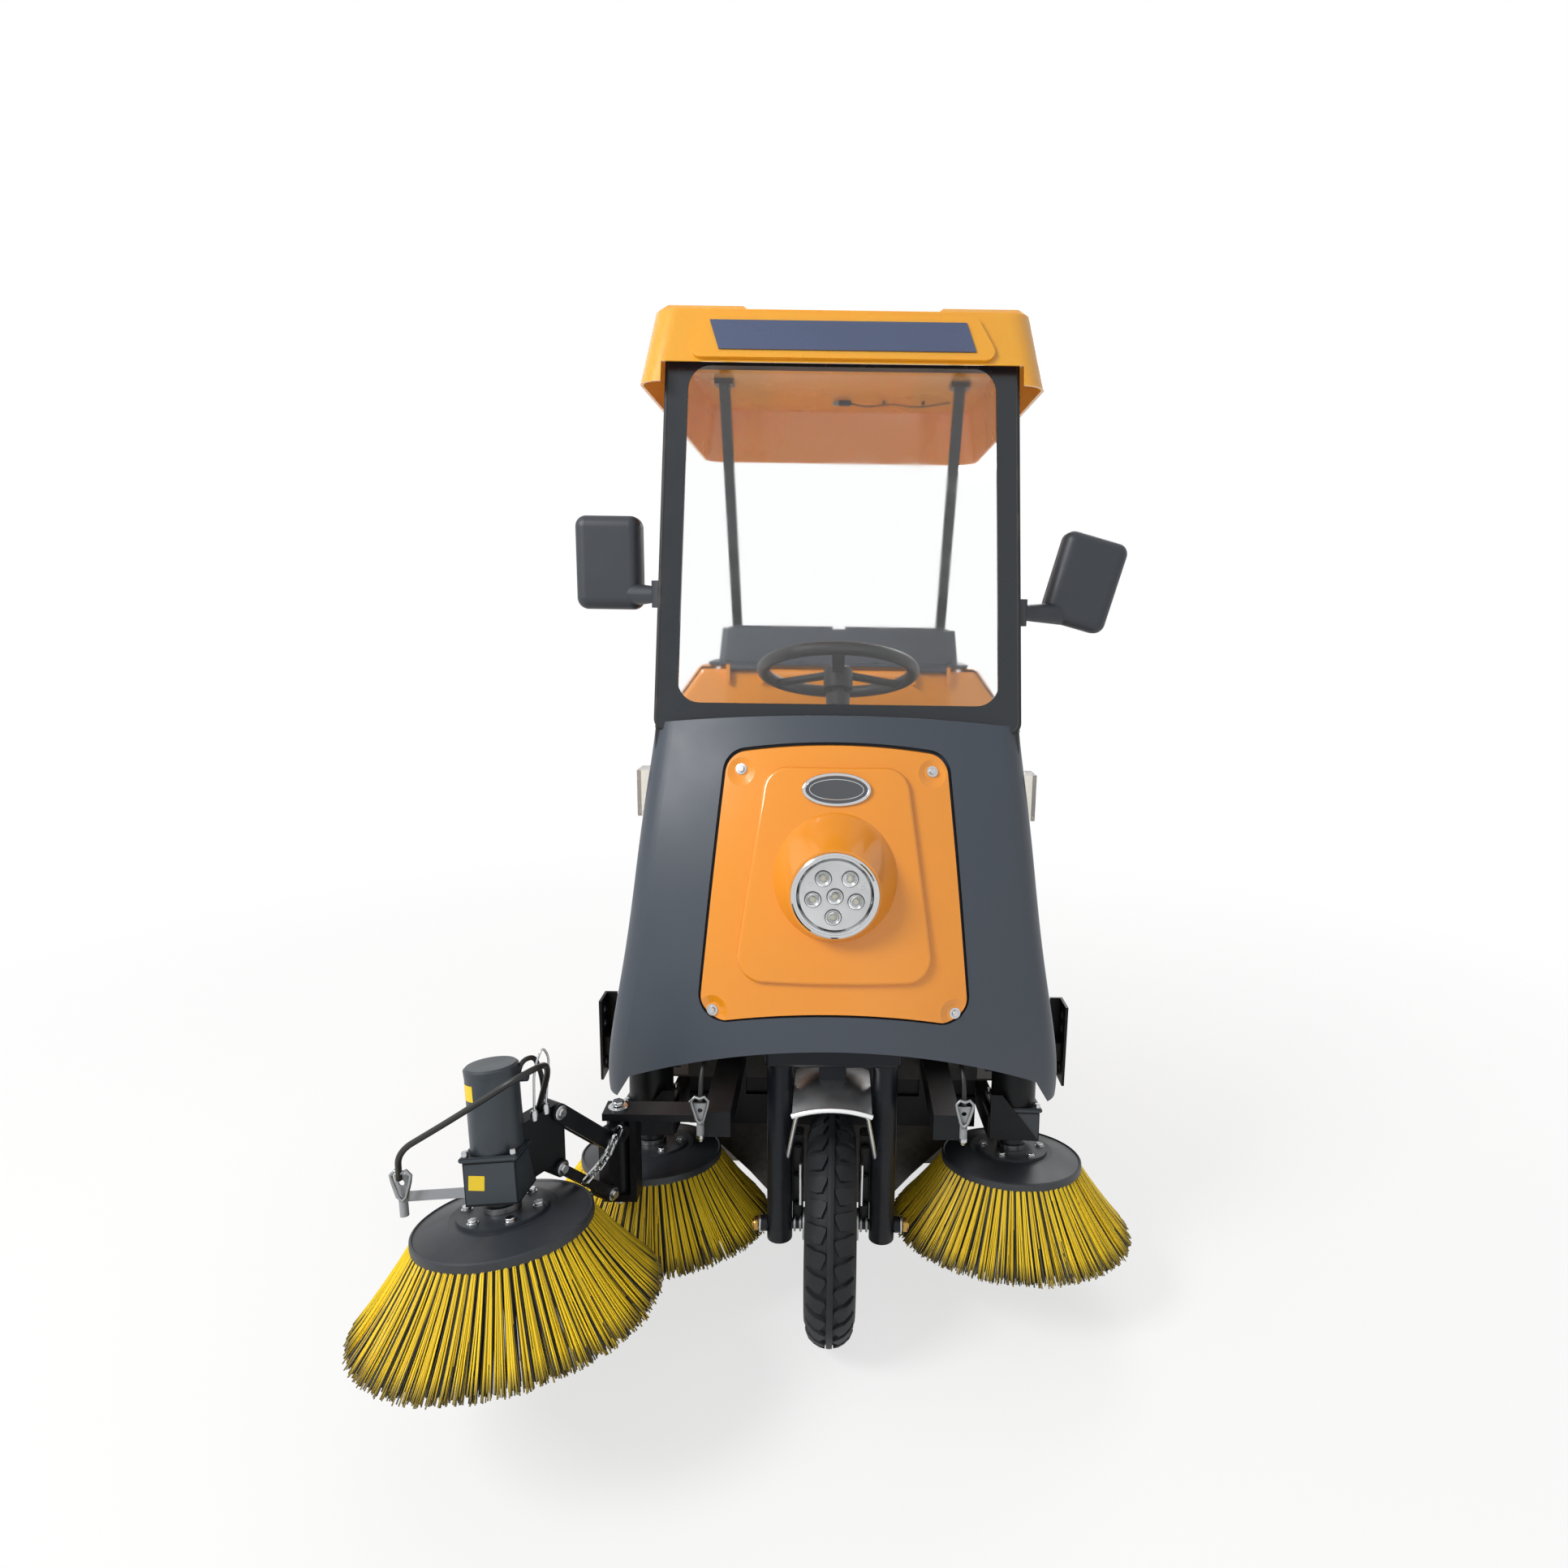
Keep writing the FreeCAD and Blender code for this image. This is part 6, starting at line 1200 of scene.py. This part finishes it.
def make_boom():
    """Pin heads of the links, bracket bolts, leads, the lifting chain and its drum, and nozzle fittings."""
    angle = math.atan2(BOOM_Y - SWING_Y, BOOM_X - SWING_X)
    u, v = Vector((math.cos(angle), math.sin(angle), 0)), Vector((-math.sin(angle), math.cos(angle), 0))

    def arm(reach, across, z):
        return at(SWING_X, SWING_Y, z) + (u * reach + v * across) / 1000

    for body, z in (("boom_upper_link", 439), ("boom_lower_link", 334)):
        pins = Piece(body + "_pins")
        for reach, rise in LINK_PINS:
            for side in (-1, 1):
                face = arm(reach, side * 20, z + rise)
                pins.lathe("bright_zinc", [(0.0, 0.0002), (0.0125, 0.0002), (0.0125, 0.0022),
                                           (0.0085, 0.0028), (0.0085, 0.0062), (0.0070, 0.0078),
                                           (0, 0.0078)], towards(face, v * side), 32)
        pins.done(body)

    plate = Piece("boom_bracket_fittings")
    for z, way in ((483, 1), (303, -1)):
        base = towards(at(SWING_X, SWING_Y, z), (0, 0, way))
        plate.lathe("bright_zinc", [(0, 0), (0.0185, 0), (0.0185, 0.003), (0.0150, 0.0045), (0, 0.0045)],
                    base, 40)
        plate.bolt(at(SWING_X, SWING_Y, z) + Vector((0, 0, way * 0.0045)), (0, 0, way), 0.013, washer=False)
    plate.done("chassis")

    leads = Piece("boom_leads")
    leads.sweep("hose_rubber", rounded([arm(236, -4, 640), arm(220, -8, 668), arm(190, -10, 664),
                                        arm(176, -8, 622), arm(178, -4, 574)], 0.05), 0.0042)
    leads.sweep("bright_zinc", rounded([arm(216, 12, 570), arm(214, 14, 655), arm(196, 16, 690),
                                        arm(182, 16, 666), arm(190, 12, 574)], 0.06), 0.0020, sides=10)
    for point in (arm(216, 12, 570), arm(190, 12, 570), arm(178, -4, 570)):
        leads.lathe("bright_zinc", [(0, -0.004), (0.006, -0.004), (0.006, 0.010), (0.004, 0.013), (0, 0.013)],
                    Matrix.Translation(point), 20)
    leads.done("boom_head")

    drum = Piece("boom_drum")
    for across in (29, 41):
        drum.rod("black_powder_coat", arm(34, across, 458), arm(34, across + 3, 458), 0.015, sides=48,
                 bevel=0.0008)
    drum.rod("black_powder_coat", arm(34, 18, 458), arm(34, 44, 458), 0.006, sides=36)
    drum.done("boom_base")
    chain = Piece("boom_chain")
    start, end = arm(42, 36, 463), arm(116, 26, 404)
    sag = (start + end) / 2 - u * 0.006 - Vector((0, 0, 0.012))
    chained(chain, "bright_zinc", rounded([start, sag, end], 0.05), 0.0155, 0.0024)
    piece = chain.done(None)
    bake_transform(piece)

    tips = Piece("nozzle_tips")
    for x in (-246, 246):
        point, _ = hit("spray_nozzles", (x, -71, 300), UP)
        tips.lathe("bright_zinc", [(0.0078, -0.006), (0.0078, 0.001), (0.0055, 0.003), (0.0035, 0.008),
                                   (0, 0.008)], towards(point, DOWN), 24)
        tips.sweep("hose_rubber", rounded([at(x, -66, 508), at(x, -50, 560), at(x * 0.96, 20, 600),
                                           at(x * 0.9, 90, 640)], 0.05), 0.0045, sides=10)
        keyhole(tips, (x, -77, 498))
    tips.done("chassis")
    head = Piece("boom_nozzle_loop")
    keyhole(head, (-686, -330, 500))
    head.done("boom_head")


# Body, lid and door

def make_badge():
    """Blank dark oval in a chromed rim on the front panel."""
    seat = seat_on("front_panel", (0, -400, 1089), BACK)
    badge = Piece("blank_badge")
    badge.plate("badge_enamel", ellipse(0.0590, 0.0270), raised(seat, 0.0002), 0.0012)
    for half_x, half_y, z, wire, sides in ((0.0605, 0.0285, -0.0005, 0.0036, 12),
                                           (0.0500, 0.0190, 0.0014, 0.0009, 8)):
        badge.sweep("chromed_plastic", [seat @ Vector((x, y, z)) for x, y in ellipse(half_x, half_y)], wire,
                    sides=sides, closed=True)
    badge.done("chassis")


SLATS, SLAT_FROM, SLAT_PITCH, SLAT_TILT = 8, -0.0595, 0.017, 0.6


def make_body():
    """Louvres, reflectors and a socket cap on the body, and the tail lamps' bezels."""
    vents = Piece("body_fittings")
    for side in (-1, 1):
        point, normal = hit("rear_body", (side * 700, 1150, 850), (-side, 0, 0))
        seat = towards(point, normal)
        vents.plate("black_nylon", oval(0.150, 0.080, 0.014), seat, 0.0030, bevel=0.0010,
                    hole=oval(0.138, 0.068, 0.008))
        vents.plate("interior_abs", oval(0.138, 0.068, 0.008), raised(seat, 0.0003), 0.0006)
        for k in range(SLATS):
            slat = (seat @ Matrix.Translation((0, SLAT_FROM + SLAT_PITCH * k, 0.0050))
                    @ Matrix.Rotation(SLAT_TILT, 4, "X"))
            vents.box("black_nylon", slat, (0.274, 0.0145, 0.0022), 0.0008)
        for x in (-0.142, 0.142):
            for y in (-0.072, 0.072):
                vents.bolt(seat @ Vector((x, y, 0.003)), normal, 0.0035, washer=False)
        vents.plate("amber_lens", oval(0.038, 0.017, 0.005),
                    seat_on("rear_body", (side * 700, 1385, 560), (-side, 0, 0)), 0.0050, bevel=0.0012)
        vents.plate("red_lens", oval(0.030, 0.017, 0.004),
                    seat_on("rear_body", (side * 424, 1700, 640), FRONT), 0.0050, bevel=0.0012)
        vents.plate("black_nylon", oval(0.040, 0.064, 0.010), towards(at(side * 424, 1450, 760), BACK),
                    0.0070, bevel=0.0012, hole=oval(0.0345, 0.0605, 0.008))
    cap = seat_on("rear_body", (700, 1370, 850), (-1, 0, 0))
    vents.lathe("black_nylon", [(0.046, 0.0002), (0.046, 0.0045), (0.043, 0.0065), (0.036, 0.0065),
                                (0.035, 0.0040), (0.020, 0.0040), (0, 0.0040)], cap, 64)
    vents.box("black_nylon", raised(cap, 0.0085), (0.010, 0.052, 0.009), 0.0022)
    vents.done("chassis")


def make_rear():
    """Blank plate and screws of the door, the lid's latches and screws, and the bumper's bolts."""
    door = Piece("door_fittings")
    point, normal = hit("hopper_door", (0, 1700, 820), FRONT)
    seat = towards(point, normal)
    door.plate("black_nylon", oval(0.148, 0.078, 0.012), seat, 0.0030, bevel=0.0010)
    door.plate("white_plate", oval(0.140, 0.070, 0.010), raised(seat, 0.003), 0.0012, bevel=0.0004)
    for x in (-0.118, 0.118):
        for y in (-0.050, 0.050):
            door.bolt(seat @ Vector((x, y, 0.0042)), normal, 0.0045)
    for x in (-330, 330):
        for z in (520, 700, 900, 990):
            door.bolt(*hit("hopper_door", (x, 1700, z), FRONT), 0.006)
    door.done("hopper_door")

    lid = Piece("lid_fittings")
    for x in (-210, 210):
        seat = seat_on("rear_lid", (x, 1300, 1300), FRONT)
        lid.plate("black_nylon", oval(0.020, 0.026, 0.005), seat, 0.0040, bevel=0.0012)
        lid.box("bright_zinc", seat @ Matrix.Translation((0, -0.004, 0.0065)), (0.016, 0.034, 0.005), 0.0015)
        lid.rod("bright_zinc", seat @ Vector((-0.012, 0.014, 0.006)), seat @ Vector((0.012, 0.014, 0.006)),
                0.0028, sides=16)
    for x in (-300, -100, 100, 300):
        for y in (900, 1000):
            lid.lathe("black_nylon", [(0.0085, 0.0), (0.0085, 0.0016), (0.0060, 0.0030), (0, 0.0032)],
                      seat_on("rear_lid", (x, y, 1700), DOWN), 28)
    lid.done("rear_lid")

    posts = Piece("bumper_bolts")
    for x in (-360, -180, 180, 360):
        posts.bolt(*hit("rear_bumper", (x, 1800, 365), FRONT), 0.009)
    posts.done("chassis")


# Stage

FLOOR_SIZE, FLOOR_COLOUR, FLOOR_ROUGH = 60, "#ECECEB", 0.7
WHITE_FROM, WHITE_FULL, WHITE_NEAR = 1.0, 3.6, 0.70    # where the floor turns into the white surroundings
SKY_LOW, SKY_HIGH = 0.20, 0.60                         # the world's strength on the object, below and above
LAMPS = (("key", (-3.0, -2.8, 3.8), 1.6, 190), ("fill", (0.8, -3.6, 0.9), 1.2, 9),
         ("back", (1.5, 3.4, 3.2), 2.0, 60))           # place, width in metres and power in watts
LAMPS_AIM = 0.9                                        # height that the lamps look at
CAMERA_AT, CAMERA_TILT, CAMERA_ROLL, CAMERA_SHIFT = (0, -1720, 1406), 80, 0.8, -0.0336


def seen_rays(tree):
    """A share that is 1 on the rays that show the surroundings: camera, transmission and glossy ones."""
    rays = add(tree, "ShaderNodeLightPath").outputs
    seen = maths(tree, "MAXIMUM", rays["Is Camera Ray"], rays["Is Transmission Ray"])
    return maths(tree, "MAXIMUM", seen, rays["Is Glossy Ray"])


def make_floor():
    """Pale floor that keeps the object's shadow and fades into white further out."""
    bpy.ops.mesh.primitive_plane_add(size=FLOOR_SIZE, location=(0, 0, 0))
    floor = bpy.context.object
    floor.name = "floor"
    material = bpy.data.materials.new("pale_floor")
    tree = emptied(material)
    place = add(tree, "ShaderNodeTexCoord").outputs["Object"]
    away = add(tree, "ShaderNodeVectorMath", {"operation": "LENGTH"}, i0=place).outputs["Value"]
    fade = ranged(tree, away, WHITE_FROM, WHITE_FULL, WHITE_NEAR, 1.0)
    fade = maths(tree, "MULTIPLY", fade, seen_rays(tree))
    matt = add(tree, "ShaderNodeBsdfPrincipled", Base_Color=linear(FLOOR_COLOUR), Roughness=FLOOR_ROUGH)
    white = add(tree, "ShaderNodeEmission", Color=(1, 1, 1, 1), Strength=1.0)
    blend = add(tree, "ShaderNodeMixShader", i0=fade, i1=matt.outputs[0], i2=white.outputs[0])
    add(tree, "ShaderNodeOutputMaterial", Surface=blend.outputs[0])
    floor.data.materials.append(material)


def make_stage():
    """Pale floor, white surroundings, soft lights and the camera."""
    scene = bpy.context.scene
    make_floor()
    world = bpy.data.worlds.new("white_studio")
    tree = emptied(world)
    shown = add(tree, "ShaderNodeBackground", Color=(1, 1, 1, 1), Strength=1.0)
    coord = add(tree, "ShaderNodeTexCoord").outputs["Generated"]
    height = add(tree, "ShaderNodeSeparateXYZ", Vector=coord).outputs["Z"]
    lit = add(tree, "ShaderNodeBackground", Color=(1, 1, 1, 1),
              Strength=ranged(tree, height, -0.1, 0.9, SKY_LOW, SKY_HIGH))
    mix = add(tree, "ShaderNodeMixShader", i0=seen_rays(tree), i1=lit.outputs[0], i2=shown.outputs[0])
    add(tree, "ShaderNodeOutputWorld", Surface=mix.outputs[0])
    scene.world = world
    for name, place, size, power in LAMPS:
        light = bpy.data.lights.new(name, "AREA")
        light.size = size
        light.energy = power
        holder = placed(name, light)
        holder.matrix_world = towards(place, Vector(place) - Vector((0, 0, LAMPS_AIM)))
        holder.visible_glossy = name != "fill"
    camera = bpy.data.cameras.new("camera")
    camera.lens = look().camera_lens
    camera.sensor_width = 36
    camera.shift_x = CAMERA_SHIFT
    camera.clip_start = 0.01
    scene.camera = placed("camera", camera)
    scene.camera.matrix_world = (Matrix.Translation(at(*CAMERA_AT)) @ turned(CAMERA_TILT, "X")
                                 @ turned(CAMERA_ROLL, "Z"))
    scene.view_settings.view_transform = "Standard"


# Add-on

def builder(work):
    """An operator class that runs one building step."""
    def execute(self, context):
        work()
        return {"FINISHED"}
    word = work.__name__.removeprefix("make_")
    return type("SWEEPER_OT_" + word, (bpy.types.Operator,), {
        "__doc__": work.__doc__.rstrip("."), "bl_idname": "sweeper." + word,
        "bl_label": word.replace("_", " ").capitalize(), "execute": execute})


STEPS = [builder(work) for work in (
    make_finishes, paint_frame, make_bristles, make_treads, make_front, make_screen, make_fork, make_apron,
    make_seat, make_cab, make_drives, make_boom, make_badge, make_body, make_rear, make_stage)]


class SWEEPER_PT_panel(bpy.types.Panel):
    """Sidebar panel with the look settings and one button per step"""
    bl_label = "Sweeper"
    bl_idname = "SWEEPER_PT_panel"
    bl_space_type = "VIEW_3D"
    bl_region_type = "UI"
    bl_category = "Sweeper"

    def draw(self, context):
        for name in SweeperLook.__annotations__:
            self.layout.prop(context.scene.sweeper_look, name)
        for step in STEPS:
            self.layout.operator(step.bl_idname)


CLASSES = (SweeperLook, *STEPS, SWEEPER_PT_panel)


def register():
    for item in CLASSES:
        bpy.utils.register_class(item)
    bpy.types.Scene.sweeper_look = bpy.props.PointerProperty(type=SweeperLook)


def unregister():
    del bpy.types.Scene.sweeper_look
    for item in reversed(CLASSES):
        bpy.utils.unregister_class(item)


def main():
    """Builds everything on the packed frame, in order."""
    frame.update(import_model())
    mount = next(m for m in frame["record"]["mounts"] if m["name"] == "tow_hitch")
    SHIFT[:] = Vector(mount["pos_m"]) - TOW_BORE / 1000
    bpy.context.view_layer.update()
    register()
    for step in STEPS:
        family, word = step.bl_idname.split(".")
        if getattr(getattr(bpy.ops, family), word)() != {"FINISHED"}:
            raise RuntimeError(step.bl_label)


if __name__ == "__main__":
    main()
